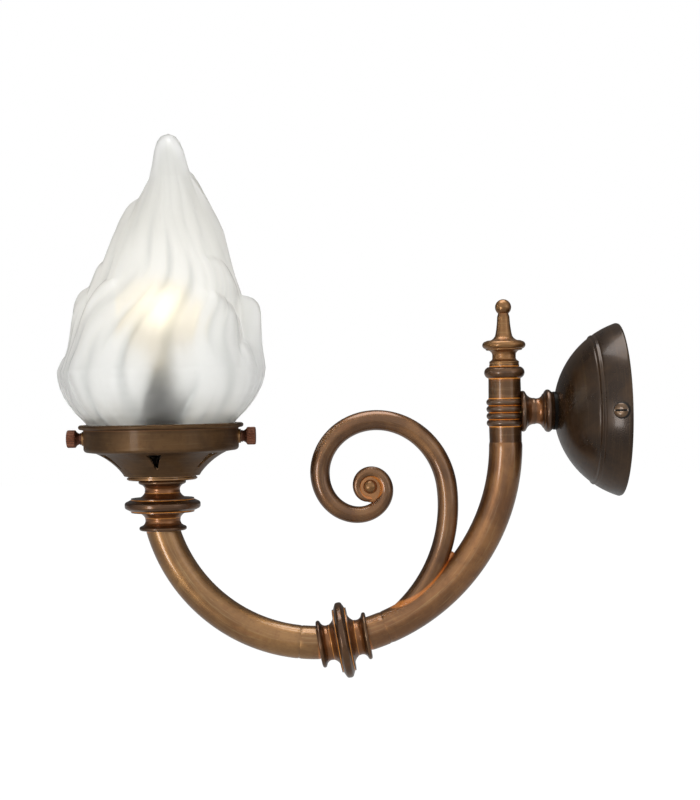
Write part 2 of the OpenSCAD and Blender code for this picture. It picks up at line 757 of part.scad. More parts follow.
module left_thumb_washer() { thumb_washer(-1); }
module left_thumb_screw() { thumb_screw(-1); }
module right_thumb_washer() { thumb_washer(1); }
module right_thumb_screw() { thumb_screw(1); }

// ---- Lampholder and bulb ----

module holder_nipple() {
    color(brass) translate([axis_x, 0, washer_z - 11]) pipe(nipple_r, nipple_bore / 2,
        holder_z + holder_base_t - washer_z + 11);
}

module holder_nut() {
    color(brass) translate([axis_x, 0, gallery_z + gallery_wall + eps]) difference() {
        cylinder(h = nut_t, d = 16 / cos(30), $fn = 6);
        translate([0, 0, -over]) cylinder(h = nut_t + 2 * over, r = nipple_r + eps);
    }
}

module lampholder() {
    r = holder_d / 2;
    s = sleeve_d / 2;
    color(black) translate([axis_x, 0, holder_z]) difference() {
        turned([[r - 3, 0], [r - 1, 0.6], [r, 2.5], [r, holder_len * 0.5], [s + 0.4, holder_len * 0.53],
            [s, holder_len * 0.56], [s, holder_len - 1], [s - 0.5, holder_len]]);
        translate([0, 0, -over]) cylinder(h = holder_base_t + 2 * over, r = nipple_r + eps);
        translate([0, 0, holder_base_t]) cylinder(h = holder_len, r = cap_d / 2 + 0.5);
    }
}

module holder_insert() {
    color([0.9, 0.88, 0.82]) translate([axis_x, 0, insert_z]) difference() {
        union() {
            cylinder(h = insert_h - 2, d = cap_d + 0.9);
            translate([0, 0, insert_h - 2]) cylinder(h = 2, r = 2.2);
        }
        for (s = [-1, 1]) translate([s * 4.6, 0, -over]) cylinder(h = 6, r = 1.2);
    }
}

module bulb_cap() {
    r = cap_d / 2;
    color(brass) translate([axis_x, 0, cap_z]) difference() {
        turned([[2.4, 0], [2.6, 0.8], [r - 1.6, 2.6], [r - 0.2, 3.6], [r, 4.4], [r, cap_h]]);
        translate([0, 0, cap_floor]) cylinder(h = cap_h, r = r - 0.6);
    }
}

module bulb_glass() {
    r = bulb_d / 2;
    neck_r = cap_d / 2 + 0.4;
    foot = -r - bulb_neck_h + eps;
    join = 52;
    outline = concat([[neck_r - 0.3, foot], [neck_r, foot + 1]],
        arc_between([neck_r, foot + 2.4], r * [sin(join), -cos(join)], -1.6, 5),
        round_points([0, 0], r, join - 84, 89, 16));
    wall = 0.8;
    inner = inset(outline, wall);
    last = len(inner) - 1;
    color([1, 0.93, 0.75, 0.6]) translate([axis_x, 0, bulb_z]) rotate_extrude()
        polygon(concat(outline, [[0, r], [0, r - wall]],
            reversed([for (i = [0 : last]) [max(inner[i][0], 0.1), inner[i][1]]])));
}

module bulb_stem() {
    foot_z = cap_z + cap_floor + eps;
    top_z = bulb_z + bulb_d / 11;
    stem_top_r = bulb_d / 9;
    stem_base_r = 2;
    cone_h = 8;
    hoop_r = 0.8;
    color([0.95, 0.85, 0.6]) translate([axis_x, 0, 0]) {
        translate([0, 0, foot_z]) cylinder(h = top_z - cone_h - foot_z + 1, r = stem_base_r);
        translate([0, 0, top_z - cone_h]) cylinder(h = cone_h, r1 = stem_base_r, r2 = stem_top_r);
        translate([0, 0, top_z - 0.2]) rotate_extrude() translate([stem_top_r, 0]) circle(r = hoop_r);
    }
}

// ---- Flex through the arm ----

lead_in_r = 60;
flex_turn_r = 8;
flex_step = 6;

function arc_points(c, r, a0, a1, step) =
    let (n = ceil(abs(a1 - a0) / step))
    [for (i = [0 : n]) let (a = a0 + (a1 - a0) * i / n) c + r * [cos(a), sin(a)]];

// The route: down from the lampholder, a lead-in bend tangent to the upright above it and to
// the left bend below it, both bends of the arm, up the post and through the neck
function flex_route() =
    let (lead_x = axis_x + lead_in_r, gap = left_bend_r - lead_in_r,
         lead_z = left_c[1] - sqrt(pow(gap, 2) - pow(lead_x - left_c[0], 2)),
         meet = 360 + atan2(lead_z - left_c[1], lead_x - left_c[0]))
    concat(
        [[axis_x, insert_z - eps], [axis_x, (insert_z + lead_z) / 2]],
        arc_points([lead_x, lead_z], lead_in_r, 180, meet - flex_step, 2 * flex_step),
        arc_points(left_c, left_bend_r, meet, knop_angle - flex_step / 2, flex_step),
        arc_points(right_c, right_bend_r, knop_angle, 360, flex_step),
        arc_points([post_x + flex_turn_r, -flex_turn_r], flex_turn_r, 180, 90, 2 * flex_step),
        [[(post_x + block_x) / 2, 0], [block_x - eps, 0]]);

module arm_flex() {
    route = flex_route();
    color(black) rod(route, [for (p = route) flex_d / 2], 8);
}

// ---- Flame shade ----

// The plain body under the tongues: share of the flame's height, share of the bowl's radius.
// It swells from the neck, keeps a waist of 8 tenths half way up and draws in to a blunt tip.
flame_body = [
    [0.014, 0.775], [0.042, 0.853], [0.07, 0.910], [0.097, 0.954], [0.127, 0.984], [0.155, 1],
    [0.185, 1], [0.217, 0.97], [0.266, 0.917], [0.314, 0.878], [0.362, 0.842], [0.411, 0.8],
    [0.459, 0.743], [0.507, 0.68], [0.556, 0.623], [0.604, 0.57], [0.652, 0.517], [0.7, 0.45],
    [0.749, 0.37], [0.797, 0.29], [0.845, 0.216], [0.894, 0.177], [0.942, 0.147], [0.972, 0.115],
    [0.99, 0.074], [1, 0.012]
];
// Share of the height, share of the lean
flame_sway = [[0, 0], [0.18, 0.06], [0.36, 0.31], [0.54, 0.65], [0.66, 0.95], [0.85, 1], [1, 0.87]];
// Tiers of tongues from the lowest up. Each row: how many, first angle, then root, tip and depth,
// each with what it gains on the wall side and loses on the room side, and half width in degrees.
// Heights are shares of the flame's height, depths are shares of tongue_depth.
tiers = [
    [9, 180, -0.024, 0, 0.266, 0.018, 0.36, 0.03, 21],
    [8, 0, 0.097, -0.085, 0.459, -0.021, 1, 0.09, 25],
    [5, 180, 0.314, 0, 0.568, 0, 0.46, -0.06, 30],
    [4, 0, 0.362, 0, 0.821, 0.045, 0.43, -0.1, 36]
];
tip_scatter = 0.018;
drift_angle = 12;
fade_h = 6;        // height above the lip over which the tongues fade in
flare_h = 0.8;     // height below the lip where the neck starts to open out
columns = 72;
outer_rows = 46;
inner_rows = 24;

function angle_between(a, b) = let (d = (a - b) % 360) d > 180 ? d - 360 : d < -180 ? d + 360 : d;

// Each tongue: centre, root, tip, depth, half width and the drift of its tip to one side
all_tongues = [for (t = tiers, i = [0 : t[0] - 1])
    let (a = t[1] + i * 360 / t[0], c = cos(a), loose = abs(c) < 0.9 ? tip_scatter * sin(5 * a + 20) : 0)
    [a, flame_h * (t[2] + t[3] * c), flame_h * (t[4] + t[5] * c + loose),
     tongue_depth * (t[6] + t[7] * c), t[8], drift_angle * sin(3 * a + 40)]];

// How far one tongue stands out: it swells towards its tip, ends there in a rounded edge, and
// narrows and drifts in a slow S on its way up
function tongue(a, z, t) =
    z <= t[1] || z >= t[2] ? 0 :
    let (u = (z - t[1]) / (t[2] - t[1]), width = t[4] * (0.3 + 0.7 * sqrt(1 - pow(u, 3))),
         x = abs(angle_between(a, t[0] + t[5] * (u - 0.5 + 0.5 * sin(360 * u)))) / width)
    x >= 1 ? 0 : t[3] * (1 - pow(x, 1.8)) * pow(u, 1.35) * sqrt(1 - pow(u, 16));

// All tongues together, softly joined where they cross
function relief(a, z) =
    let (all = [for (t = all_tongues) pow(tongue(a, z, t), 5)])
    pow(all * [for (t = all) 1], 0.2) * min(1, z / fade_h);

function plain_flame(z) = z < 0 ? neck_glass_r + max(0, 0.7 * (z + flare_h))
    : let (s = z / flame_h) s < flame_body[0][0]
    ? neck_glass_r + 0.6 + (bowl_d / 2 * flame_body[0][1] - neck_glass_r - 0.6) * s / flame_body[0][0]
    : bowl_d / 2 * lookup(s, flame_body);

function lean(z) = flame_lean * lookup(z / flame_h, flame_sway);

// A ring of points round the flame at height z above the lip, drawn in by the wall t
function flame_ring(z, t) =
    [for (k = [0 : columns - 1])
        let (a = 360 * k / columns, r = max(plain_flame(z) + (z > 0 ? relief(a, z) : 0) - t, 0.3))
        [axis_x + lean(z) + r * cos(a), r * sin(a), lip_z + z]];

module flame_shade() {
    foot = glass_foot_z - lip_z;
    outer_z = concat([foot, -flare_h],
        [for (i = [0 : outer_rows - 1]) 1 + (flame_h - 1.4) * (1 - pow(1 - i / (outer_rows - 1), 1.1))]);
    inner_top = flame_h - 3.6 * glass_t;
    inner_z = concat([foot, -flare_h],
        [for (i = [0 : inner_rows - 1]) 1 + (inner_top - 1) * (1 - pow(1 - i / (inner_rows - 1), 1.1))]);
    points = concat(
        [for (z = outer_z) each flame_ring(z, 0)],
        [for (z = inner_z) each flame_ring(z, z < 0 ? glass_t : glass_t * 1.25)],
        [[axis_x + lean(flame_h), 0, lip_z + flame_h],
         [axis_x + lean(inner_top), 0, lip_z + inner_top + 1]]);
    n = len(outer_z);
    m = len(inner_z);
    outer_pole = (n + m) * columns;
    walls = [for (i = [0 : n + m - 2], k = [0 : columns - 1]) if (i != n - 1)
        let (j = (k + 1) % columns, a = i * columns + k, b = i * columns + j)
        each i < n ? [[a, a + columns, b], [b, a + columns, b + columns]]
                   : [[a, b, a + columns], [b, b + columns, a + columns]]];
    poles = [for (k = [0 : columns - 1]) let (j = (k + 1) % columns)
        each [[(n - 1) * columns + k, outer_pole, (n - 1) * columns + j],
              [(n + m - 1) * columns + j, outer_pole + 1, (n + m - 1) * columns + k]]];
    mouth = [for (k = [0 : columns - 1]) let (j = (k + 1) % columns, q = n * columns)
        each [[k, j, q + k], [j, q + j, q + k]]];
    color([0.93, 0.93, 0.91, 0.7]) polyhedron(points, concat(walls, poles, mouth));
}

wall_bracket();
backplate();
side_screws();
terminal_block();
terminal_screws();
earth_screw();
neck_nipple();
nipple_nut();
nut_washer();
cable_bush();
neck_washer();
neck_spool();
post_head();
finial();
right_arm();
scroll();
knop();
left_arm();
collar();
seat_washer();
gallery();
screw_bosses();
holder_nipple();
holder_nut();
lampholder();
holder_insert();
bulb_cap();
bulb_glass();
bulb_stem();
arm_flex();
left_thumb_washer();
left_thumb_screw();
right_thumb_washer();
right_thumb_screw();
flame_shade();
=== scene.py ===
# %% [markdown]
# # A torch sconce, piece by piece
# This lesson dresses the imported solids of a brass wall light, which give every place and size. Each
# visible piece is made again as a finer surface, in whole numpy arrays, and gets a finish of its own.
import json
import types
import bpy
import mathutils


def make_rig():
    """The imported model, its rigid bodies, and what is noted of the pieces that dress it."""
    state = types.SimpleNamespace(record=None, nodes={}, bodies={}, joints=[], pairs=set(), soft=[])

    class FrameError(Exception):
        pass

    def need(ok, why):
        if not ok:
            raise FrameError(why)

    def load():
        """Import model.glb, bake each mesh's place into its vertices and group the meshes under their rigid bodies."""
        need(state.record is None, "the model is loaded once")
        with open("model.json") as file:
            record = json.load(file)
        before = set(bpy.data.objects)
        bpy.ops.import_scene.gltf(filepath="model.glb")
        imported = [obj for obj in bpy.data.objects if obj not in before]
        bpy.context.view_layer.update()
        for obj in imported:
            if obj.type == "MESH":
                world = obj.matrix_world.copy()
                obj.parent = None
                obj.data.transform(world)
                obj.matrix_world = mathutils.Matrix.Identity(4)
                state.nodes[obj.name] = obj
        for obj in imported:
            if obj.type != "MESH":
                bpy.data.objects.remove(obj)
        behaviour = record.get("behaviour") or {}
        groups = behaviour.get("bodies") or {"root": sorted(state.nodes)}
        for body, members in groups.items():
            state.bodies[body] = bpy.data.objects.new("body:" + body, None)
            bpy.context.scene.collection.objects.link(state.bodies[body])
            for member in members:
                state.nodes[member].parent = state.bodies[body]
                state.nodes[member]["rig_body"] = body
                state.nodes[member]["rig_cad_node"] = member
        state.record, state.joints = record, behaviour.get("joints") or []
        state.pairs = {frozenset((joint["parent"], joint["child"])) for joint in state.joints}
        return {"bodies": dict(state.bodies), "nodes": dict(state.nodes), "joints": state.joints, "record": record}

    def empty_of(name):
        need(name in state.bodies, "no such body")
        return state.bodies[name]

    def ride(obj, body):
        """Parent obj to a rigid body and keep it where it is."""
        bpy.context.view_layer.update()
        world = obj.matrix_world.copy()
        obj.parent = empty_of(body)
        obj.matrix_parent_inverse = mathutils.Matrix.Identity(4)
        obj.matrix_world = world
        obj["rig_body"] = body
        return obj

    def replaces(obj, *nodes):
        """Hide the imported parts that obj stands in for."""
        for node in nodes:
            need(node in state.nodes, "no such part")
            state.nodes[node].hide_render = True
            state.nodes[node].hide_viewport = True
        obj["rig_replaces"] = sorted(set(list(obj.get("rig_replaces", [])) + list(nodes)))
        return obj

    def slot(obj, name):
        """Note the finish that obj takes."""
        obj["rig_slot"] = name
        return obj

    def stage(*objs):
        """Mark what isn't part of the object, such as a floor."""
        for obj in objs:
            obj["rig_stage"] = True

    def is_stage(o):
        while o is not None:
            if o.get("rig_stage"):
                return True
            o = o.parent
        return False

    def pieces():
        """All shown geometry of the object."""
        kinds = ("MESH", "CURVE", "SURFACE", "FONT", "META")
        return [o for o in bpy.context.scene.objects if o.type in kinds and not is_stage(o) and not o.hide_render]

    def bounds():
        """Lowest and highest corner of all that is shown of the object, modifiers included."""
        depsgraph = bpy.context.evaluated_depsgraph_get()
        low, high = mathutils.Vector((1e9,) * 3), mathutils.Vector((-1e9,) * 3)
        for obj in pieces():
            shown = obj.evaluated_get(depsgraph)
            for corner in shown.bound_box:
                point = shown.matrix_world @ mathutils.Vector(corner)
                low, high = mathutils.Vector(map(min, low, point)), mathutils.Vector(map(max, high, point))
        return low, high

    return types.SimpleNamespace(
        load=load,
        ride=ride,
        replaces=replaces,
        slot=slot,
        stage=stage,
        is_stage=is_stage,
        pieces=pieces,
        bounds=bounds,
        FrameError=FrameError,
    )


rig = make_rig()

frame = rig.load()
cad_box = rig.bounds()

import json
import math

import bpy
import numpy as np
from mathutils import Matrix, Vector

record = frame["record"]
print("nodes:", len(frame["nodes"]), "bodies:", sorted(frame["bodies"]))

# %% [markdown]
# ## The camera
# The photograph was taken square to the arm, a little under a metre away, and turned by one degree.
# A lens of 70 mm gives the same perspective: the rose shows a little of its face.

# %% Camera
MM = 0.001
LENS, FILM, EYE_AT, ROLL = 69.75, 36.0, (-0.1529, -0.886, 0.0083), 1.1
lens = bpy.data.cameras.new("lens")
lens.lens, lens.sensor_width, lens.clip_start, lens.clip_end = LENS, FILM, 0.01, 20.0
camera = bpy.data.objects.new("camera", lens)
bpy.context.scene.collection.objects.link(camera)
camera.matrix_world = (Matrix.Translation(EYE_AT)
        @ Matrix.Rotation(math.radians(ROLL), 4, "Y")
        @ Matrix.Rotation(math.radians(90), 4, "X"))
bpy.context.scene.camera = camera
bpy.context.scene.view_settings.view_transform = "Standard"
print("camera at", tuple(round(v, 4) for v in camera.location))

# %% [markdown]
# ## Points of a profile
# A turned piece is drawn as a lathe hand sees it: half of its outline, as radius and height. Two
# shapes are enough for every bead and hollow: an arc over a chord, and a part of a circle.


# %% Profile helpers
def arc(p, q, sag, steps=14):
    """An arc from p to q that stands off its chord by sag: to the right of the way it runs, or to
    the left where sag is below zero. Its radius is chord squared over eight sags, plus half a sag."""
    p, q = np.array(p, float), np.array(q, float)
    chord, s = np.linalg.norm(q - p), abs(sag)
    radius = chord * chord / (8 * s) + s / 2
    along = (q - p) / chord
    side = np.array([along[1], -along[0]]) * math.copysign(1, sag)
    centre = (p + q) / 2 + side * (s - radius)
    a = math.asin(chord / 2 / radius) * np.linspace(-1, 1, steps + 1)[:, None]
    return centre + radius * (side * np.cos(a) + along * np.sin(a))


def round_part(centre, radius, start, end, steps=14):
    """Part of a circle: centre plus radius times (cosine, sine) from the start to the end angle."""
    a = np.radians(np.linspace(start, end, steps + 1))[:, None]
    return np.array(centre, float) + radius * np.hstack([np.cos(a), np.sin(a)])


def outline(*parts):
    """Joins points and arcs into one list of points, and drops a point that repeats the last."""
    points = np.vstack([np.atleast_2d(np.array(p, float)) for p in parts])
    keep = np.r_[True, np.linalg.norm(np.diff(points, axis=0), axis=1) > 1e-4]
    return points[keep]


def run_of(points):
    """How far along the outline each point lies: the sum of the legs before it."""
    return np.r_[0, np.cumsum(np.linalg.norm(np.diff(points, axis=0), axis=1))]


def finer(points, step=0.45):
    """The same outline with points about every step, so that a pattern can be kept at each."""
    at = run_of(points)
    extra = [np.linspace(a, b, max(1, int(math.ceil((b - a) / step))), endpoint=False)
            for a, b in zip(at[:-1], at[1:])]
    s = np.r_[np.concatenate(extra), at[-1]]
    return np.column_stack([np.interp(s, at, points[:, k]) for k in (0, 1)])


print("an arc of", len(arc([0, 0], [1, 0], 0.2)), "points")

# %% [markdown]
# ## Where dirt and orange lacquer gather
# On the real light the hollows are orange and coppery, and the beads are dull brown. Both follow the
# form, so they are measured on the outline itself. It is hollow where it bends inwards: there the
# middle between two points, one a reach before and one a reach after, stands out over it.


# %% Hollows and crests of a profile
def hollows(points, reach=3.5, depth=1.3):
    """How far the outline is hollow at each point, from 0 to 1: the middle between the two points a
    reach before and after it, how far that stands out over the point itself, divided by depth."""
    s = run_of(points)
    before, after = (np.column_stack([np.interp(s + move, s, points[:, k]) for k in (0, 1)])
            for move in (-reach, reach))
    along = after - before
    along /= np.maximum(np.linalg.norm(along, axis=1), 1e-9)[:, None]
    outwards = np.column_stack([along[:, 1], -along[:, 0]])
    return np.clip((((before + after) / 2 - points) * outwards).sum(1) / depth, 0, 1)


def grooves(points, reach=0.8, depth=0.3):
    """The same for fine grooves beside beads and reeds."""
    return hollows(points, reach, depth)


def beads(points, reach=1.9, depth=1.2):
    """How far a point stands out of the lowest one within reach, where both sides of it fall away."""
    s = run_of(points)
    near = s[:, None] - s[None, :]
    before = np.where((near >= 0) & (near < reach), points[None, :, 0], 1e9).min(1)
    after = np.where((near <= 0) & (-near < reach), points[None, :, 0], 1e9).min(1)
    return np.clip((points[:, 0] - np.maximum(before, after)) / depth, 0, 1)


print("hollow of a flat line:", hollows(np.array([[1.0, 0], [1, 1], [1, 2]])).round(2).tolist())

# %% [markdown]
# ## From a grid of points to a mesh
# Every surface here is a grid: rows along a profile or a path, and columns around it. Points that
# fall together are welded, and a square that loses a side becomes a triangle.


# %% Grid to mesh
def add_object(data, name):
    """Puts a mesh or a lamp into the scene as one object."""
    piece = bpy.data.objects.new(name, data)
    bpy.context.scene.collection.objects.link(piece)
    return piece


def ring(r, a, h):
    """Points (r cos a, r sin a, h) for every mix of the radii, angles and heights."""
    return np.stack(np.broadcast_arrays(r * np.cos(a), r * np.sin(a), h), -1)


def around(columns):
    """The angles of a grid's columns, evenly spaced once round."""
    return np.linspace(0, 2 * np.pi, columns, endpoint=False)


def quads_of(rows, columns, first=0):
    """Corner numbers of the squares between neighbouring rows and columns, closed around: a point's
    number is its row times the columns, plus its column."""
    i = np.arange(rows - 1)[:, None] * columns
    j = np.arange(columns)[None, :]
    k, i2 = (j + 1) % columns, i + columns
    return np.stack([i + j, i + k, i2 + k, i2 + j], -1).reshape(-1, 4) + first


def mesh_piece(name, points, quads, values, sharp=40):
    """A welded mesh from points in millimetres and squares, with values kept at its points."""
    points = np.asarray(points, float).reshape(-1, 3)
    _, keep, place = np.unique(np.round(points, 4), axis=0, return_index=True, return_inverse=True)
    faces = place.reshape(-1)[quads]
    kept = faces != np.roll(faces, -1, axis=1)
    sides = kept.sum(1)
    whole, tris = faces[sides == 4], faces[sides == 3][kept[sides == 3]].reshape(-1, 3)
    mesh = bpy.data.meshes.new(name)
    mesh.from_pydata(points[keep] * MM, [], whole.tolist() + tris.tolist())
    mesh.polygons.foreach_set("use_smooth", np.ones(len(mesh.polygons), bool))
    for key, value in values.items():
        value = np.asarray(value, float).reshape(len(points), -1)[keep]
        kind = "FLOAT" if value.shape[1] == 1 else "FLOAT_VECTOR"
        layer = mesh.attributes.new(key, kind, "POINT")
        layer.data.foreach_set("value" if kind == "FLOAT" else "vector", value.ravel())
    mesh.set_sharp_from_angle(angle=math.radians(sharp))
    mesh.validate()
    return add_object(mesh, name)


def place(points, origin, axis=(0, 0, 1), side=(0, 1, 0)):
    """Stands points drawn about +Z on a place, with +Z along the axis and +Y along the side."""
    y, z = (np.array(v, float) / np.linalg.norm(v) for v in (side, axis))
    return np.asarray(points) @ np.stack([np.cross(y, z), y, z]) + np.array(origin, float)


def turning(name, profile, origin, axis=(0, 0, 1), side=(0, 1, 0), columns=128, closed=False,
        step=0.45, bead_share=0.0):
    """A profile carried round an axis: (r cos a, r sin a, h), with its hollows and grooves kept."""
    profile = outline(profile, profile[:1]) if closed else profile
    fine = finer(profile, step)
    a = around(columns)
    r, h = fine[:, :1], fine[:, 1:]
    values = {
        "hollow": np.repeat(hollows(fine), columns),
        "groove": np.repeat(grooves(fine), columns),
        "bead": np.repeat(beads(fine) * bead_share, columns),
        "skin": ring(r, a, run_of(fine)[:, None]) * MM,
    }
    piece = mesh_piece(name, place(ring(r, a, h), origin, axis, side), quads_of(len(fine), columns),
            values)
    print(f"{name}: {len(piece.data.polygons)} faces")
    return piece


# %% [markdown]
# ## Named sizes
# The same sizes as the solids have, in millimetres. Heights are stacked from the collar up, and
# everything at the wall is counted outwards from the rose's back.

# %% Sizes
TUBE_R, RIGHT_R, LEFT_R, KNOP_TILT, COLLAR_LEAN = 9.5, 112.7, 91.0, 9.3, 16.0
POST_X, POST_DROP, POST_R, POST_TOP, RING_H = -64.4, 17.5, 9.15, 26.8, 22.3
KNOP_LEN, DISC_R, END_R, WAIST_R = 28.8, 21.6, 13.5, 10.1
FERRULE = 25.0
right_c = np.array([POST_X - RIGHT_R, -POST_DROP])
tilt = math.radians(KNOP_TILT)
knop_c = right_c + RIGHT_R * np.array([math.sin(tilt), -math.cos(tilt)])
left_c = knop_c + LEFT_R * np.array([-math.sin(tilt), math.cos(tilt)])
AXIS_X = left_c[0] - LEFT_R * math.cos(math.radians(COLLAR_LEAN))
COLLAR_Z = left_c[1] - LEFT_R * math.sin(math.radians(COLLAR_LEAN))
WASHER_Z = COLLAR_Z + KNOP_LEN
GALLERY_Z = WASHER_Z + 2.4
GALLERY_H, BAND_H, BAND_R, LIP_R = 29.6, 14.4, 44.1, 46.9
LIP_Z = GALLERY_Z + GALLERY_H
SCREW_Z = LIP_Z - BAND_H / 2 - 0.6
ROSE_R, ROSE_H = 49.6, 36.3
ROSE_BALL = (ROSE_R ** 2 + ROSE_H ** 2) / (2 * ROSE_H)
ROSE_X = ROSE_BALL - ROSE_H
NECK_END = -(ROSE_H + 0.7)
NECK_START = POST_X + POST_R - 0.6
print("lamp axis at", round(AXIS_X, 2), "lip at", round(LIP_Z, 2), "knop at", knop_c.round(2))

# %% [markdown]
# ## Shader sums as Python sums
# A finish is mostly arithmetic on patterns. One small class wraps a socket, so that `1 - mask * 0.5`
# adds its Math nodes by itself, and one method makes any other node.


# %% Sockets that can be added up
def operator(operation, turned=False):
    """A Python operator that adds one Math node; turned is for a wire on its right-hand side."""
    def combine(self, other):
        first, second = (other, self) if turned else (self, other)
        return self.finish.node("ShaderNodeMath", {"operation": operation}, {0: first, 1: second})
    return combine


class Wire:
    """One value on its way through a node tree, with Python's operators."""

    def __init__(self, finish, socket):
        self.finish, self.socket = finish, socket

    __add__, __radd__ = operator("ADD"), operator("ADD", True)
    __sub__, __rsub__ = operator("SUBTRACT"), operator("SUBTRACT", True)
    __mul__, __rmul__ = operator("MULTIPLY"), operator("MULTIPLY", True)
    __pow__ = operator("POWER")


class Finish:
    """A material under way: its tree, its Principled shader and the patterns used most."""

    def __init__(self, name, **constants):
        self.material = bpy.data.materials.new(name)
        self.material.use_nodes = True
        self.tree = self.material.node_tree
        self.shader = next(n for n in self.tree.nodes if n.type == "BSDF_PRINCIPLED")
        for key, value in constants.items():
            socket = self.shader.inputs[key.replace("_", " ").title().replace("Ior", "IOR")]
            socket.default_value = (*value, 1) if isinstance(value, tuple) else value

    def node(self, kind, settings=None, inputs=None, out=0):
        """Adds one node: its settings first, then the values or links of its sockets."""
        n = self.tree.nodes.new(kind)
        for key, value in (settings or {}).items():
            setattr(n, key, value)
        for key, value in (inputs or {}).items():
            if isinstance(value, Wire):
                self.tree.links.new(value.socket, n.inputs[key])
            else:
                n.inputs[key].default_value = (*value, 1) if (
                    isinstance(value, tuple) and n.inputs[key].type == "RGBA") else value
        return Wire(self, n.outputs[out])

    def outputs(self, kind, inputs=None):
        """Adds one node and gives all its outputs, by name."""
        n = self.node(kind, {}, inputs).socket.node
        return {socket.name: Wire(self, socket) for socket in n.outputs}

    def coords(self, scale=(1, 1, 1), source=None):
        """Object coordinates, or an attribute of the piece, stretched."""
        if source:
            where = self.node("ShaderNodeAttribute", {"attribute_name": source}, out="Vector")
        else:
            where = self.node("ShaderNodeTexCoord", out="Object")
        return self.node("ShaderNodeMapping", {}, {"Vector": where, "Scale": scale})

    def value(self, name):
        """A number that the piece keeps at each of its points."""
        return self.node("ShaderNodeAttribute", {"attribute_name": name}, out="Fac")

    def noise(self, coords, scale, detail=4.0, rough=0.55, warp=0.0):
        """Cloudy noise from 0 to 1: scale is how many clouds to a metre, detail how many layers."""
        return self.node("ShaderNodeTexNoise", {}, {
            "Vector": coords, "Scale": scale, "Detail": detail, "Roughness": rough,
            "Distortion": warp})

    def ramp(self, value, low, high, bottom=0.0, top=1.0):
        """Stretches a range of the value onto bottom to top, with soft ends."""
        return self.node("ShaderNodeMapRange", {"interpolation_type": "SMOOTHSTEP"}, {
            "Value": value, "From Min": low, "From Max": high, "To Min": bottom, "To Max": top})

    def mix(self, factor, first, second):
        """Goes from the first colour to the second as the factor goes from 0 to 1."""
        return self.node("ShaderNodeMix", {"data_type": "RGBA"}, {0: factor, 6: first, 7: second}, out=2)

    def bump(self, height, distance, strength):
        """Tilts the light on the surface as if the height were real, up to the distance."""
        return self.node("ShaderNodeBump", {}, {
            "Height": height, "Distance": distance, "Strength": strength}, out="Normal")

    def feed(self, **links):
        """Links values to the shader, by the names of its sockets."""
        for key, wire in links.items():
            self.tree.links.new(wire.socket, self.shader.inputs[key.replace("_", " ").title()])
        return self.material


print("a finish is ready to be mixed")

# %% [markdown]
# ## Aged brass
# Raw brass can be coloured chemically, wiped back by hand and lacquered. That leaves an uneven brown
# ground, orange lines in the grooves, coppery hollows and thin bright wear. The ground is noise of
# three sizes, the streaks run round or along the piece, and the grooves come from the values that
# each piece keeps. Thick lacquer hides the metal, so the metal's share falls there.


# %% Brass finishes
def aged_brass(name, ground, warm, dark, bright, streak_scale, rough=0.3, coat=0.4, warm_share=1.0,
        copper=(0.23, 0.085, 0.028), crest=(0.15, 0.11, 0.085), metal=0.9):
    """Ground and dark in clouds, then copper patches, bright streaks, dark and bright spots, dull
    beads, copper hollows, and the warm colour in the grooves last."""
    f = Finish(name, coat_weight=coat, coat_roughness=0.1)
    space = f.coords()
    skin = f.coords(scale=streak_scale, source="skin")
    cloud = f.noise(space, 38.0, 5.0, 0.6, 0.4)
    spots = f.noise(space, 330.0, 4.0, 0.7)
    streaks = f.noise(skin, 900.0, 3.0, 0.65)
    hollow, groove, bead = (f.value(kept) for kept in ("hollow", "groove", "bead"))
    patch = f.noise(space, 75.0, 4.0, 0.7, 0.8)
    orange = f.ramp(groove, 0.3, 0.85) * f.ramp(cloud, 0.25, 0.5, 0.6, 1.0) * warm_share
    tone = f.mix(f.ramp(cloud, 0.35, 0.68), dark, ground)
    for share, colour in ((f.ramp(patch, 0.52, 0.72) * 0.4, copper),
            (f.ramp(streaks, 0.5, 0.78) * 0.4, bright),
            (f.ramp(spots, 0.55, 0.72) * 0.45, dark),
            (f.ramp(spots, 0.34, 0.22) * 0.35, bright), (bead * 0.85, crest),
            (f.ramp(hollow, 0.35, 1.0) * 0.6 * warm_share, copper), (orange, warm)):
        tone = f.mix(share, tone, colour)
    return f.feed(base_color=tone, metallic=metal * (1 - 0.8 * orange) * (1 - 0.45 * bead),
            roughness=rough + 0.16 * f.ramp(cloud, 0.3, 0.7) + 0.10 * f.ramp(spots, 0.5, 0.8),
            normal=f.bump(spots * 0.5 + streaks * 0.5, 0.00004, 0.6))


ALONG, ROUND = (1, 1, 0.05), (0.05, 0.05, 1)  # streaks that run along a tube, or round a turning
ORANGE = (0.62, 0.20, 0.03)
BRASS = aged_brass("aged_brass", (0.42, 0.22, 0.078), ORANGE, (0.25, 0.122, 0.042),
        (0.55, 0.36, 0.16), ALONG, rough=0.33, coat=0.85)
WARM = aged_brass("warm_brass", (0.35, 0.163, 0.056), ORANGE, (0.20, 0.085, 0.029),
        (0.48, 0.30, 0.125), ALONG, rough=0.33, coat=0.85)
ROD = aged_brass("rod_brass", (0.27, 0.127, 0.046), (0.58, 0.19, 0.03), (0.145, 0.065, 0.025),
        (0.40, 0.24, 0.11), ALONG, rough=0.33, coat=0.8)
TURNED = aged_brass("turned_brass", (0.15, 0.072, 0.027), (0.80, 0.30, 0.03), (0.09, 0.04, 0.016),
        (0.34, 0.21, 0.10), ROUND, rough=0.27, coat=0.55, metal=0.82,
        copper=(0.32, 0.115, 0.028), crest=(0.105, 0.08, 0.062))
FINIAL = aged_brass("finial_brass", (0.38, 0.19, 0.068), (0.40, 0.16, 0.04), (0.21, 0.10, 0.036),
        (0.50, 0.32, 0.14), ROUND, rough=0.28, warm_share=0.35)
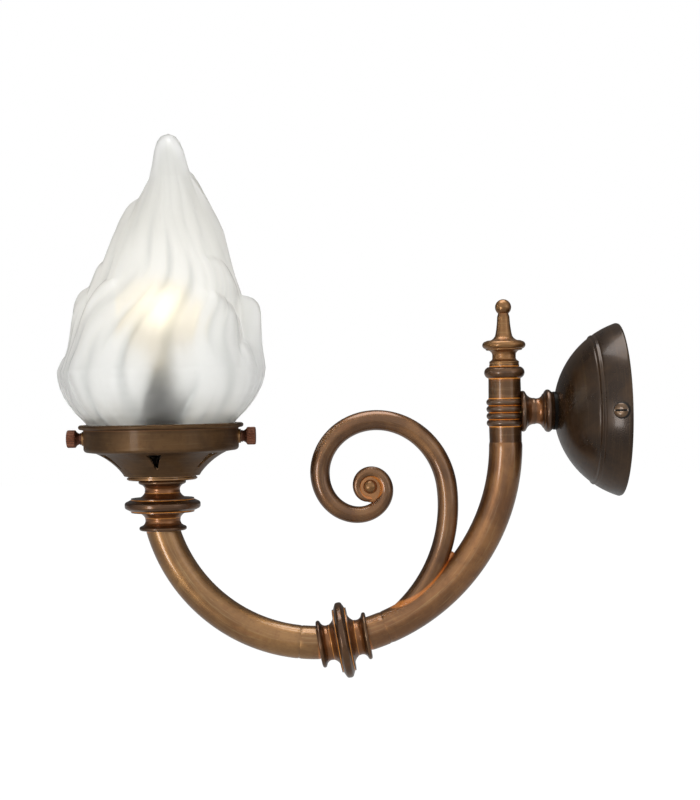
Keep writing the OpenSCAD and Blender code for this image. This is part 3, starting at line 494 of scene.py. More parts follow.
SPUN = aged_brass("spun_brass", (0.145, 0.075, 0.028), (0.20, 0.075, 0.015), (0.085, 0.043, 0.016),
        (0.22, 0.14, 0.065), ROUND, rough=0.42, coat=0.1, warm_share=0.5,
        copper=(0.05, 0.022, 0.007), metal=0.75)
ROSE = aged_brass("rose_brass", (0.060, 0.030, 0.011), (0.05, 0.023, 0.007), (0.027, 0.013, 0.005),
        (0.10, 0.058, 0.022), (0.03, 0.03, 1), rough=0.24, coat=0.22, metal=0.45,
        warm_share=0.6, copper=(0.05, 0.021, 0.006))
COPPER = aged_brass("reddish_brass", (0.20, 0.085, 0.052), (0.30, 0.10, 0.04), (0.09, 0.038, 0.026),
        (0.36, 0.19, 0.13), ALONG, rough=0.36, coat=0.0)
INNER = aged_brass("plain_brass", (0.56, 0.37, 0.13), (0.45, 0.24, 0.06), (0.38, 0.24, 0.08),
        (0.68, 0.5, 0.22), ROUND, rough=0.3, coat=0.0)
print("brass finishes:", [m.name for m in bpy.data.materials if m.name.endswith("_brass")])

# %% [markdown]
# ## Moulded, plated and sheathed parts
# Hidden parts get honest finishes too, because the rose and the shade come off: zinc plate has a fine
# crystal pattern, mouldings a faint orange-peel skin, and the flex is woven. The side screws' heads
# are brown, with painted shade, near black, at the rim and in the slot.

# %% Other finishes
def moulded(name, colour, rough, shine=0.5, top=None):
    """One colour, slightly darker in clouds, with a fine peel; a top, where given, turns lighter with the height:
    painted light from the bulb falling on it.
    """
    f = Finish(name, specular_ior_level=shine)
    space = f.coords()
    peel = f.noise(space, 900.0, 2.0)
    cloud = f.noise(space, 60.0, 3.0)
    shade = tuple(c * 0.82 for c in colour)
    tone = f.mix(f.ramp(cloud, 0.3, 0.7), shade, colour)
    if top:
        # Painted light: the colour goes lighter towards the top, as if lit by the bulb's glow.
        painted_glow_tone, start, end = top
        rise = f.node("ShaderNodeSeparateXYZ", {}, {0: space}, out="Z")
        tone = f.mix(f.ramp(rise, start, end), tone, painted_glow_tone)
    return f.feed(base_color=tone, roughness=rough + 0.1 * peel, normal=f.bump(peel, 0.00003, 0.5))


def plated(name):
    """Bright zinc: two greys in clouds, and a crystal pattern in the roughness and the bump."""
    f = Finish(name, metallic=1.0)
    space = f.coords()
    cells = f.node("ShaderNodeTexVoronoi", {}, {"Vector": space, "Scale": 420.0})
    cloud = f.noise(space, 90.0, 4.0)
    tone = f.mix(f.ramp(cloud, 0.35, 0.65), (0.50, 0.51, 0.53), (0.64, 0.65, 0.66))
    return f.feed(base_color=tone, roughness=0.34 + 0.12 * cells,
            normal=f.bump(cells, 0.00002, 0.4))


def slotted(name, centre_x, ball, lean):
    """Brown heads with painted shade round the rim, by the distance from the head's leaning axis, and in the
    slot, by the height over the ball of the rose."""
    f = Finish(name)
    space = f.coords()
    at = f.outputs("ShaderNodeSeparateXYZ", {0: space})
    x, y, z = at["X"] - centre_x, (at["Y"] ** 2) ** 0.5, at["Z"]
    across = x * math.cos(lean) + y * math.sin(lean)
    over = y * math.cos(lean) - x * math.sin(lean) - ball
    off = (across * across + z * z) ** 0.5
    # Painted shade: near black round the rim, where the head sits in its recess, and down in the slot.
    rim_and_slot_shade = f.ramp(off, 0.0037, 0.0041) + f.ramp(off, 0.0036, 0.0033) * f.ramp(over, 0.0019, 0.0016)
    cloud = f.noise(space, 300.0, 4.0)
    tone = f.mix(f.ramp(cloud, 0.35, 0.65), (0.10, 0.055, 0.028), (0.17, 0.10, 0.05))
    return f.feed(base_color=f.mix(rim_and_slot_shade, tone, (0.012, 0.008, 0.005)), roughness=0.3 + 0.5 * rim_and_slot_shade,
            metallic=0.5 * (1 - rim_and_slot_shade), coat_weight=0.4 * (1 - rim_and_slot_shade),
            normal=f.bump(cloud, 0.00003, 0.5))


def woven(name):
    """Two browns in slanting bands, as the threads of a braid, with a little fluff."""
    f = Finish(name)
    space = f.coords()
    one = f.node("ShaderNodeTexWave", {"bands_direction": "DIAGONAL"}, {
        "Vector": space, "Scale": 400.0})
    two = f.noise(space, 700.0, 3.0)
    return f.feed(base_color=f.mix(one, (0.05, 0.04, 0.032), (0.10, 0.082, 0.062)),
            roughness=0.75 + 0.1 * two, normal=f.bump(one + two, 0.0002, 0.6))


HEADS = slotted("side_screw_heads", ROSE_X * MM, ROSE_BALL * MM, math.asin((ROSE_X + 5.8) / ROSE_BALL))
by_slot = {
    "zinc_steel": plated("zinc_plate"),
    "dark_washer": moulded("washer_black", (0.005, 0.004, 0.003), 0.35, shine=0.08),
    # The holder's top is painted lighter with the height, as light from the bulb falling on it.
    "holder_black": moulded("holder_black", (0.01, 0.009, 0.008), 0.45, shine=0.1,
        top=((0.45, 0.43, 0.38), 0.010, 0.028)),
    "insert_cream": moulded("insert_cream", (0.78, 0.74, 0.64), 0.5),
    "block_white": moulded("block_white", (0.72, 0.72, 0.69), 0.45),
    "flex_sheath": woven("flex_sheath"),
    "inner_brass": INNER, "antique_brass": BRASS, "rose_brass": ROSE, "thumb_brass": COPPER}
print("finishes:", len(by_slot))


def finish_piece(piece, material, *nodes, body="light", slot="antique_brass"):
    """Gives a new piece its finish, its body, its record slot and the node that it stands for."""
    piece.data.materials.clear()
    piece.data.materials.append(material)
    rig.ride(piece, body)
    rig.slot(piece, slot)
    if nodes:
        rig.replaces(piece, *nodes)
    return piece


# %% [markdown]
# ## The knop and the collar
# Both are turned to one drawing: a large disc between two waists and two small discs. The knop lies
# on the arm where its two bends meet, and the collar stands upright where the arm ends.

# %% Knop and collar
def waisted_half():
    """Radius and height from the end face to the middle of the double-waisted turning."""
    h, ledge = KNOP_LEN / 2, DISC_R - 3.6
    return outline([0, 0], round_part([END_R - 1.2, 1.2], 1.2, -90, 60),
            arc([END_R - 1.4, 2.6], [WAIST_R, h - 7.8], -0.9),
            arc([WAIST_R, h - 7.2], [ledge - 0.9, h - 4], -1.3),
            [ledge, h - 4], [ledge, h - 3.3], round_part([DISC_R - 1.7, h - 0.5], 1.7, -60, 0))


low = waisted_half()
high = low[::-1] * [1, -1] + [0, KNOP_LEN]
waisted = outline(low, high)
knop_axis = (math.cos(tilt), 0, math.sin(tilt))
knop = turning("knop_turning", waisted - [0, KNOP_LEN / 2], (knop_c[0], 0, knop_c[1]), knop_axis)
finish_piece(knop, TURNED, "knop")
collar = turning("collar_turning", waisted, (AXIS_X, 0, COLLAR_Z))
finish_piece(collar, TURNED, "collar")

# %% [markdown]
# ## Tubes and the scroll
# A tube is a circle carried along the arm's bends. The path lies in the plane of the arm, so the
# section needs only the path's own normal and the direction across that plane.


# %% A round section carried along a path
def swept(name, path, radius, columns=64, values=None, crevice=None):
    """Points c + r (cos a n + sin a y), where c runs along the path in the plane of the arm, n is the
    path's normal there and y points across. Each end gets one more row at the path itself. The
    crevice adds to the groove, from how far each point lies from a neighbour's surface."""
    path = np.asarray(path, float)
    t = np.gradient(path, axis=0)
    t /= np.linalg.norm(t, axis=1)[:, None]
    path, t, run = (np.concatenate([v[:1], v, v[-1:]]) for v in (path, t, run_of(path)))
    r = np.r_[0, radius, 0][:, None]
    a = around(columns)
    n = np.column_stack([t[:, 1], 0 * t[:, 0], -t[:, 0]])[:, None]
    centre = np.column_stack([path[:, 0], 0 * path[:, 0], path[:, 1]])[:, None]
    points = centre + r[..., None] * (np.cos(a)[:, None] * n + np.sin(a)[:, None] * np.array([0, 1, 0]))
    kept = {k: np.repeat(np.r_[v[0], v, v[-1]], columns) for k, v in values.items()}
    if crevice:
        kept["groove"] = np.maximum(kept["groove"], crevice(points).ravel())
    kept["skin"] = ring(r, a, run[:, None]) * MM
    piece = mesh_piece(name, points, quads_of(len(path), columns), kept)
    print(f"{name}: {len(piece.data.polygons)} faces, {run[-1]:.0f} mm long")
    return piece


def bend_path(centre, radius, start, end, step=1.0):
    """Points round a bend, about every step degrees: centre plus radius times (cosine, sine)."""
    a = np.radians(np.linspace(start, end, int(abs(end - start) / step) + 2))
    return centre + radius * np.column_stack([np.cos(a), np.sin(a)])


KNOP_AT = 270 + KNOP_TILT
left_seam = KNOP_AT - math.degrees(FERRULE / LEFT_R)
right_seam = KNOP_AT + math.degrees(FERRULE / RIGHT_R)
inner_l = KNOP_AT - math.degrees((KNOP_LEN / 2 - 1) / LEFT_R)
inner_r = KNOP_AT + math.degrees((KNOP_LEN / 2 - 1) / RIGHT_R)


def near_ends(path, first, last):
    """A groove value that fades from an end over about 1.5 mm, where lacquer gathers at a joint."""
    run = run_of(path)
    return np.maximum(first * np.exp(-(run / 1.6) ** 2), last * np.exp(-((run[-1] - run) / 1.6) ** 2))


def seam_of(centre, radius, thick, start, end):
    """A crevice beside a bent bar: 1 where a point lies on the bar's surface, and nothing 2 mm off."""
    def beside(points):
        x, y, z = points[..., 0] - centre[0], points[..., 1], points[..., 2] - centre[1]
        off = np.hypot(np.hypot(x, z) - radius, y) - thick
        turn = np.degrees(np.arctan2(z, x)) % 360
        within = (turn - start) % 360 < (end - start) % 360
        return np.exp(-(off / 1.1) ** 2) * within
    return beside


def tube(name, centre, radius, start, end, marks, *nodes, crevice=None, material=BRASS):
    """A bend of the arm: TUBE_R all along, and 0.25 mm less at the very ends, as a fine seam."""
    path = bend_path(centre, radius, start, end, 0.8)
    run = run_of(path)
    edge = np.minimum(run, run[-1] - run)
    r = TUBE_R - 0.25 * np.exp(-(edge / 0.35) ** 2)
    piece = swept(name, path, r, values={"groove": near_ends(path, *marks), "hollow": 0 * r},
            crevice=crevice)
    return finish_piece(piece, material, *nodes)


# The scroll's stem is one more bend. It leaves the arm at its root and hands over to the volute.
HEADING, STEM_R, ROD_R = 96.6, 83.7, 6.0
heading = math.radians(HEADING)
volute_start = right_c + [78.5, -24.4]
stem_c = volute_start + STEM_R * np.array([-math.sin(heading), math.cos(heading)])
gap = np.linalg.norm(stem_c - right_c)
lead = math.degrees(math.acos((RIGHT_R ** 2 - gap ** 2 - STEM_R ** 2) / (2 * STEM_R * gap)))
stem_root = math.degrees(math.atan2(stem_c[1] - right_c[1], stem_c[0] - right_c[0])) + lead
beside_stem = seam_of(stem_c, STEM_R, ROD_R, stem_root + 4, HEADING - 90)
beside_arm = seam_of(right_c, RIGHT_R, TUBE_R, right_seam + 4, 360)
tube("arm_outer_tube", left_c, LEFT_R, 180 + COLLAR_LEAN - 1.5, left_seam, (1, 0.3), "left_arm")
tube("arm_inner_tube", right_c, RIGHT_R, right_seam, 360, (0.3, 0.3), "right_arm",
     crevice=beside_stem, material=WARM)
tube("knop_ferrule_outer", left_c, LEFT_R, left_seam, inner_l, (0.3, 1))
tube("knop_ferrule_inner", right_c, RIGHT_R, inner_r, right_seam, (1, 0.3), material=WARM)

# %% [markdown]
# The scroll leaves the arm as one even bend, turns in faster each quarter turn and ends round a ball,
# drawn down from a 12 mm rod. Its path is stepped along: each short step turns a little more. Braze
# fills the crotch between the rod and the arm, and a shallow seat closes the eye behind the ball.

# %% Scroll
volute_r = np.array([47.8, 34.6, 26.3, 18.1, 11.2, 7.4, 8.3, 4.7])
SWEEP, STEP = 657.0, 2.25
turned_by = np.arange(0, SWEEP + 0.1, STEP)
at = turned_by[:-1] + STEP / 2
leg = np.interp(at, 90 * np.arange(8), volute_r) * np.radians(STEP)
way = np.radians(HEADING + at)
steps = leg[:, None] * np.column_stack([np.cos(way), np.sin(way)])
volute = volute_start + np.vstack([[0, 0], np.cumsum(steps, 0)])
stem = bend_path(stem_c, STEM_R, stem_root, HEADING - 90, 1.2)[:-1]
path = np.vstack([stem, volute])
drawn = np.interp(turned_by, [0, 90, 173, 263, 353, 443, 533, 612, 657],
        [5.9, 5.75, 5.6, 4.75, 3.95, 3.15, 2.5, 2.05, 1.7])
rod_r = np.r_[np.linspace(ROD_R, 5.9, len(stem)), drawn]
left = run_of(path)[-1] - run_of(path)
rod_r[-1] = rod_r[-2]
rod_r *= np.sqrt(np.clip(1 - np.clip(1 - left / 1.6, 0, 1) ** 2, 0.04, 1))
tight = np.clip((turned_by - 330) / 200, 0, 1) * 0.55
BALL_R, EYE = 4.3, np.array([-142.3, -41.4])


def beside_eye(points):
    """The crevice round the ball and beside the arm: distance from the eye's rim or the arm."""
    rim = np.hypot(points[..., 0] - EYE[0] - 0.8, points[..., 2] - EYE[1] + 0.6) - 6.1
    return np.maximum(np.exp(-(np.clip(rim, 0, None) / 0.8) ** 2), beside_arm(points))


scroll = swept("scroll_rod", path, rod_r, 48, {
    "groove": 0 * rod_r, "hollow": np.r_[np.zeros(len(stem)), tight]}, crevice=beside_eye)
finish_piece(scroll, ROD, "scroll")
ball = turning("scroll_ball", round_part([0, 0], BALL_R, -90, 90, 40), (EYE[0], 0, EYE[1]),
        (0, -1, 0), (1, 0, 0), columns=64)
finish_piece(ball, FINIAL)
seat_profile = outline([0, -1.5], [6.6, -1.5], round_part([6.6, 0], 1.5, -90, 90), [0, 1.5])
seat = turning("scroll_eye_seat", seat_profile, (EYE[0] + 1.1, 0, EYE[1] - 1.1), (0, -1, 0),
        (1, 0, 0), columns=64)
for layer in ("groove", "hollow"):
    seat.data.attributes[layer].data.foreach_set("value", np.full(len(seat.data.vertices), 0.5))
finish_piece(seat, BRASS)

crotch = bend_path(stem_c, STEM_R, stem_root, HEADING - 90, 0.3)
reach = np.linalg.norm(crotch - right_c, axis=1)
parted = RIGHT_R - TUBE_R - (reach + ROD_R)
kept = (parted > -2.5) & (parted < 2.2)
halfway = (reach + ROD_R + RIGHT_R - TUBE_R) / 2 / reach
between = right_c + (crotch - right_c)[kept] * halfway[kept, None]
ease = np.sqrt(np.clip(1 - np.linspace(-0.15, 1, kept.sum()) ** 6, 0.05, 1))
braze = swept("scroll_braze", between, (1.6 + parted[kept] / 2) * ease, 24,
        {"groove": np.ones(kept.sum()), "hollow": np.ones(kept.sum())})
finish_piece(braze, BRASS)
print("scroll turned by", SWEEP, "degrees; stem leaves the arm at", round(stem_root, 1))

# %% [markdown]
# ## The post, its finial and the neck
# Four reeds run round the post where the neck meets it, a ring closes its top, and the finial screws
# into it. The neck is a spool: a flange against the post, a waist and a ring against the washer.

# %% Post, finial and neck
REED_PITCH, REED_R, REEDS_Z = 3.96, 10.6, -0.5
reed_middles = REEDS_Z + (np.arange(4) - 1.5) * REED_PITCH
reeds = [arc([POST_R + 0.15, h - 1.93], [POST_R + 0.15, h + 1.93], REED_R - POST_R - 0.15, 16)
        for h in reed_middles]
post_profile = outline([0, -POST_DROP], [POST_R, -POST_DROP], *reeds, [POST_R, RING_H - 3.4],
        arc([POST_R + 0.2, RING_H - 3.2], [POST_R + 0.2, RING_H + 3.2], 2.15, 20),
        [POST_R - 0.6, RING_H + 3.3], [POST_R - 0.6, POST_TOP], [0, POST_TOP])
post = turning("post_turning", post_profile, (POST_X, 0, 0), bead_share=1.0)
finish_piece(post, TURNED, "post_head")

FINIAL_H, FDISC_R, FBALL_R, FWAIST = 37.4, 12.3, 4.6, 6.7
disc_h = FINIAL_H * 0.3
finial_profile = outline(
    [0, 0], [8.4, 0], round_part([7.6, 1.3], 0.9, -30, 70), arc([7.6, 2.4], [FWAIST, 4.2], -0.3),
    arc([FWAIST, 5], [FDISC_R - 2.4, disc_h - 3], -1.1), [FDISC_R - 1.9, disc_h - 2.6],
    [FDISC_R - 1.9, disc_h - 2.2], round_part([FDISC_R - 2.2, disc_h], 2.2, -75, 75),
    arc([FDISC_R - 2.8, disc_h + 2.6], [4.6, disc_h + 6.6], -1.3),
    arc([4.5, disc_h + 7], [3.55, FINIAL_H - 10.1], -0.15),
    round_part([0, FINIAL_H - FBALL_R], FBALL_R, -50, 90, 30))
finial = turning("finial_turning", finial_profile, (POST_X, 0, POST_TOP))
finish_piece(finial, FINIAL, "finial")

NECK_LEN = NECK_END - NECK_START
ring_at = NECK_LEN - 3
spool = outline([0, 0], round_part([10.1, 1.6], 1.6, -90, 60), [9.7, 3.6],
        arc([9.5, 3.8], [7.5, 7.6], -0.5), arc([7.5, 8.1], [9.6, ring_at - 3], -1.1),
        [10, ring_at - 2.4], round_part([10.2, ring_at], 2, -70, 60), [10.4, NECK_LEN],
        [0, NECK_LEN])
neck = turning("neck_turning", spool, (NECK_START, 0, 0), (1, 0, 0), bead_share=0.7)
finish_piece(neck, TURNED, "neck_spool")

# %% [markdown]
# ## The rose
# A disc of brass spun over a round former: a cap of a sphere, with one fine bead between two lines
# and a rolled edge that meets the wall. It is thin, so its inside is drawn as well.

# %% Rose
BEAD_AT, ROSE_WALL, BORE = 15.0, 1.2, 5.05
half = math.degrees(math.acos(ROSE_X / ROSE_BALL))
a = np.radians(np.linspace(half, 0.0, 260))
s = (a - math.acos((ROSE_X + BEAD_AT) / ROSE_BALL)) * ROSE_BALL
ripple = 0.55 * np.exp(-(s / 0.75) ** 2) - 0.22 * np.exp(-((np.abs(s) - 1.5) / 0.45) ** 2)
edge_s = (a[0] - a) * ROSE_BALL
outer_r = ROSE_BALL + ripple - 0.5 * np.exp(-(edge_s / 0.5) ** 2)
outer, inner = (np.column_stack([r * np.sin(a), r * np.cos(a) - ROSE_X])
        for r in (outer_r, ROSE_BALL - ROSE_WALL))
inner = inner[::-1]
inner = inner[inner[:, 1] > 0]
rose_profile = outline(outer, [BORE, outer[-1, 1]], [BORE, inner[0, 1]], inner[inner[:, 0] > BORE],
        [inner[-1, 0], 0.0])
rose_profile = rose_profile[rose_profile[:, 0] >= 5.0]
rose = turning("rose_spinning", rose_profile, (0, 0, 0), (-1, 0, 0), (0, 1, 0), columns=192,
        closed=True, step=0.8)
finish_piece(rose, ROSE, "backplate", slot="rose_brass")

# %% [markdown]
# ## The gallery
# The cup that carries the glass is spun too: a foot, a hollow flare with six vents, a straight band
# and a rolled lip. The columns of its grid bend round each vent, so that every vent has a true edge.

# %% The gallery's outline
WALL, base = 1.2, GALLERY_H - BAND_H
outside = finer(outline(
    [BORE, 0], [21.4, 0], [22, 0.8], arc([22.3, 1.4], [37.4, base - 1.8], -1.2, 60),
    round_part([BAND_R - 2.2, base + 1], 2.2, -75, 0, 10), [BAND_R, GALLERY_H - 2.9],
    round_part([LIP_R - 1.3, GALLERY_H - 1.3], 1.3, -80, 100, 16),
    [BAND_R - WALL + 0.3, GALLERY_H], [BAND_R - WALL, GALLERY_H - 0.3]), 0.5)
tangent = np.gradient(outside, axis=0)
tangent /= np.linalg.norm(tangent, axis=1)[:, None]
normal = np.column_stack([tangent[:, 1], -tangent[:, 0]])
inside = outside - WALL * normal
lip_rows = outside[:, 1] > GALLERY_H - 3.1
inside[lip_rows] = np.column_stack([np.full(lip_rows.sum(), BAND_R - WALL),
        np.minimum(outside[lip_rows, 1], GALLERY_H - 0.3)])
inside[0] = [BORE, WALL]
print("gallery outline:", len(outside), "points,", round(run_of(outside)[-1], 1), "mm")

# %% [markdown]
# Vents like these can be cut through the flare after spinning: a narrow foot, sides that bow outwards
# and a wide top. Each row of the grid gives its first columns to a vent, as wide as the vent is
# there, and spreads the others over the metal between two vents.

# %% The vents
VENTS, VENT_TOP, VENT_H = 6, base - 2.4, 8.2
vent_side = arc([0.9, VENT_TOP - VENT_H], [4.6, VENT_TOP], -0.6, 20)
rise = (outside[:, 1] - (VENT_TOP - VENT_H)) / VENT_H
on_flare = (outside[:, 0] > 22.2) & (outside[:, 0] < 38)
opened = np.where(on_flare, rise > 0, outside[:, 1] > VENT_TOP)
half_w = np.interp(outside[:, 1], vent_side[:, 1], vent_side[:, 0])
half_angle = np.where(opened, half_w / outside[:, 0], 0.0)
tip_row, top_row = int(np.argmax(opened)), int(np.argmax(rise >= 1))
half_angle[top_row + 1:] = half_angle[top_row]
half_angle = half_angle[:, None]
n_in, n_out = 8, 18
sector = 2 * np.pi / VENTS
spread = np.linspace(0, 1, n_out, endpoint=False) * (sector - 2 * half_angle)
local = np.hstack([half_angle * np.linspace(-1, 1, n_in, endpoint=False), half_angle + spread])
angles = np.hstack([local + k * sector for k in range(VENTS)]) - np.pi / 2
rows, columns = angles.shape
print("vents from row", tip_row, "to row", top_row, "in", columns, "columns")

# %% [markdown]
# The outside and the inside are two shells of the same grid. The squares inside a vent are left out,
# and narrow squares through the wall close the vents' edges, the lip and the bore.

# %% Gallery
off = rows * columns
quads = quads_of(rows, columns).reshape(rows - 1, columns, 4)
in_vent = np.arange(columns) % (n_in + n_out) < n_in
row = np.arange(rows - 1)[:, None]
shell = quads[~(in_vent & (row >= tip_row) & (row < top_row))]


def through_wall(a, b, turned=False):
    """Squares through the wall, between neighbouring points a and b and the same ones inside."""
    square = np.column_stack([a, b, b + off, a + off])
    return square[:, [0, 3, 2, 1]] if turned else square


sides = []
for first in range(0, columns, n_in + n_out):
    up = np.arange(tip_row, top_row) * columns + first
    j = first + np.arange(n_in)
    sides += [through_wall(up, up + columns), through_wall(up + n_in, up + n_in + columns, True),
            through_wall(top_row * columns + j, top_row * columns + j + 1),
            through_wall(tip_row * columns + j, tip_row * columns + j + 1, True)]
j = np.arange(columns)
k = (j + 1) % columns
lip_edge, bore = through_wall(off - columns + j, off - columns + k), through_wall(k, j)
skin = ring(outside[:, :1], angles, run_of(outside)[:, None]) * MM
shells = np.concatenate([ring(p[:, :1], angles, p[:, 1:]) for p in (outside, inside)])
gallery = mesh_piece(
    "gallery_spinning", shells + [AXIS_X, 0, GALLERY_Z],
    np.concatenate([shell, (shell + off)[:, ::-1], *sides, lip_edge, bore]),
    {"hollow": np.r_[np.repeat(hollows(outside), columns), np.full(off, 0.4)],
     "groove": np.r_[np.repeat(grooves(outside), columns), np.zeros(off)],
     "skin": np.concatenate([skin, skin])}, 38)
finish_piece(gallery, SPUN, "gallery")
print("gallery_spinning:", len(gallery.data.polygons), "faces,", VENTS, "vents")

# %% [markdown]
# ## Thumb screws
# Two knurled screws hold the neck of the glass. The knurl is a wave round the head: the radius falls
# and rises once for each ridge, and fades out at the rounded corners.

# %% Thumb screws
BOSS, SLACK, RING_T, SHANK_IN = 1.2, 0.2, 1.1, 5.25


def knurled_head(name, origin, axis, body, node, ridges=26):
    """A shank and a head carried round an axis, with the head's radius less by 0.42 mm in each valley
    of the knurl: one minus the size of the sine of half the ridges times the angle."""
    start = BAND_R + BOSS + SLACK + RING_T + SLACK
    tip = start - SHANK_IN - SLACK
    profile = outline([0, tip], [1.8, tip], [1.8, start], [3.1, start],
            arc([3.1, start], [4.9, start + 2.2], -0.3),
            round_part([4.7, start + 2.7], 0.4, -60, 0, 6), [5.1, start + 6.3],
            round_part([4.3, start + 6.3], 0.8, 0, 90, 8), [3.0, start + 7.0], [0, start + 6.9])
    fine = finer(profile, 0.25)
    a = around(ridges * 8)
    on_head = (np.clip((fine[:, 0] - 4.3) / 0.5, 0, 1) * (fine[:, 1] > start + 1))[:, None]
    valley = 1 - np.abs(np.sin(ridges * a / 2))
    local = ring(fine[:, :1] - 0.42 * on_head * valley, a, fine[:, 1:])
    groove = on_head * valley
    piece = mesh_piece(name, place(local, origin, axis), quads_of(len(fine), len(a)),
            {"hollow": 0.3 * groove, "groove": groove, "skin": local * MM}, 50)
    print(f"{name}: {len(piece.data.polygons)} faces")
    return finish_piece(piece, COPPER, node, body=body, slot="thumb_brass")


def loose_washer(name, origin, axis, body, node, edge=0.18):
    """A ring with edges taken off at 45 degrees, as a closed profile carried round the shank."""
    near, far, bore, rim = BAND_R + BOSS + SLACK, BAND_R + BOSS + SLACK + RING_T, 1.85, 3.4
    profile = outline([bore, near], [rim - edge, near], [rim, near + edge], [rim, far - edge],
            [rim - edge, far], [bore, far])
    piece = turning(name, profile, origin, axis, columns=96, closed=True)
    return finish_piece(piece, COPPER, node, body=body, slot="thumb_brass")


for side, word in ((-1, "left"), (1, "right")):
    where, way = (AXIS_X, 0, SCREW_Z), (side, 0, 0)
    knurled_head(f"{word}_thumb_head", where, way, f"{word}_screw", f"{word}_thumb_screw")
    loose_washer(f"{word}_thumb_ring", where, way, f"{word}_washer", f"{word}_thumb_washer")

# %% [markdown]
# ## The flame glass
# Glass like this can be blown into a mould and frosted. A plain body swells from the neck and leans
# as it tapers. On it lie four tiers of tongues: each rises from its root, stands out most just below
# its tip, and ends there. Over them run soft folds that drift in a slow S on their way up.

# %% Flame glass
FLAME_H, BOWL_R, NECK_GLASS = 165.6, 56.5, 41.25
BODY = np.array([  # share of the height, share of the bowl's radius
    [0, 0.741], [0.014, 0.775], [0.042, 0.853], [0.07, 0.910], [0.097, 0.954], [0.127, 0.984], [0.155, 1],
    [0.185, 1], [0.217, 0.97], [0.266, 0.917], [0.314, 0.878], [0.362, 0.842], [0.411, 0.8],
    [0.459, 0.743], [0.507, 0.68], [0.556, 0.623], [0.604, 0.57], [0.652, 0.517], [0.7, 0.45],
    [0.749, 0.37], [0.797, 0.29], [0.845, 0.216], [0.894, 0.177], [0.942, 0.147], [0.972, 0.115],
    [0.99, 0.074], [1, 0]])
SWAY = np.array([[0, 0], [0.18, 0.06], [0.36, 0.31], [0.54, 0.65], [0.66, 0.95], [0.85, 1], [1, 0.87]])
# How many, first angle, then root, tip and depth, each with its gain on the wall side, half width
TIERS = [(9, 180, -0.024, 0, 0.266, 0.018, 0.36, 0.03, 21),
        (8, 0, 0.097, -0.085, 0.459, -0.021, 1, 0.09, 25),
        (5, 180, 0.314, 0, 0.568, 0, 0.46, -0.06, 30),
        (4, 0, 0.362, 0, 0.821, 0.045, 0.43, -0.1, 36)]
TONGUE_DEPTH, TIP_SCATTER, DRIFT = 9.9, 0.018, 12.0


def tongue(angle, z, row, number):
    """Depth times the section across times the swell from root to tip. The tip is blunt towards the
    wall and the room, and slender in between. The middle line drifts in an S."""
    count, first, root, root_gain, tip, tip_gain, depth, depth_gain, half = row
    centre = first + number * 360 / count
    wall_side = math.cos(math.radians(centre))
    loose = TIP_SCATTER * math.sin(math.radians(5 * centre + 20)) * (abs(wall_side) < 0.9)
    start, end = root + root_gain * wall_side, tip + tip_gain * wall_side + loose
    drift = DRIFT * math.sin(math.radians(3 * centre + 40))
    u = np.clip((z / FLAME_H - start) / (end - start), 0, 1)
    blunt = wall_side ** 2
    width = half * (0.08 + 0.22 * blunt + (0.92 - 0.22 * blunt) * np.sqrt(1 - u ** 3))
    x = ((angle - centre - drift * (u - 0.5 + 0.5 * np.sin(2 * np.pi * u)) + 180) % 360 - 180) / width
    swell = u ** 1.35 * (1 - u ** (2.5 + 13.5 * blunt ** 2)) ** (1.2 - 0.7 * blunt)
    across = np.clip(1 - np.abs(x) ** 1.8, 0, 1) ** (1.7 - 0.7 * blunt)
    return TONGUE_DEPTH * (depth + depth_gain * wall_side) * across * swell


def folds(angle, z):
    """Round crests and narrow soft valleys: the size of a cosine, kept off zero. Layers of 25 and 15
    round the glass drift against each other, and swell and fade from place to place."""
    s = np.radians(angle + 9 * np.sin(z / 21.0 + 0.4) + 3.5 * np.sin(z / 9.0 + 2.1))
    fine = np.sqrt(np.cos(12.5 * s + 1.5 * np.sin(3 * s + z / 26) + 0.5 * np.sin(7 * s)) ** 2 + 0.02)
    broad = np.sqrt(np.cos(7.5 * s + 1.1 * np.sin(2 * s - z / 30) + 0.9) ** 2 + 0.03)
    strong = 0.6 + 0.4 * np.sin(5 * s + z / 13.0)
    low_down = 0.35 + 0.65 * np.clip((95 - z) / 45, 0, 1)
    level = 2.1 * (fine - 0.65) * strong * low_down + 2.0 * (broad - 0.65) * (1.15 - strong)
    return level * (1 - 0.75 * np.cos(np.radians(angle)) ** 6)


def flame_radius(angle, z, share_of_folds=1.0):
    """The plain body's radius plus the highest tongue, softened where tongues cross, plus folds."""
    body = BOWL_R * np.interp(z / FLAME_H, BODY[:, 0], BODY[:, 1])
    total = np.zeros(np.broadcast(angle, z).shape)
    for row in TIERS:
        for number in range(row[0]):
            total += tongue(angle, z, row, number) ** 5
    fade = np.clip(z / 10, 0, 1) * np.clip((150 - z) / 70, 0, 1)
    return body + total ** 0.2 * np.clip(z / 6, 0, 1) + share_of_folds * folds(angle, z) * fade


def flame_grid(heights, columns, wall, share_of_folds):
    """Points (sway + r cos a, r sin a, height), with r less by the wall's thickness, and a plain
    round neck below the lip."""
    angle = np.linspace(0, 360, columns, endpoint=False)[None, :]
    z = heights[:, None]
    r = np.maximum(flame_radius(angle, np.clip(z, 0, None), share_of_folds) - wall, 0)
    r = np.where(z < 0, NECK_GLASS - (wall > 0) * 3.0, r)
    x = AXIS_X + 8 * np.interp(z / FLAME_H, SWAY[:, 0], SWAY[:, 1]) + r * np.cos(np.radians(angle))
    return np.stack([x, r * np.sin(np.radians(angle)), LIP_Z + z + 0 * angle], -1)


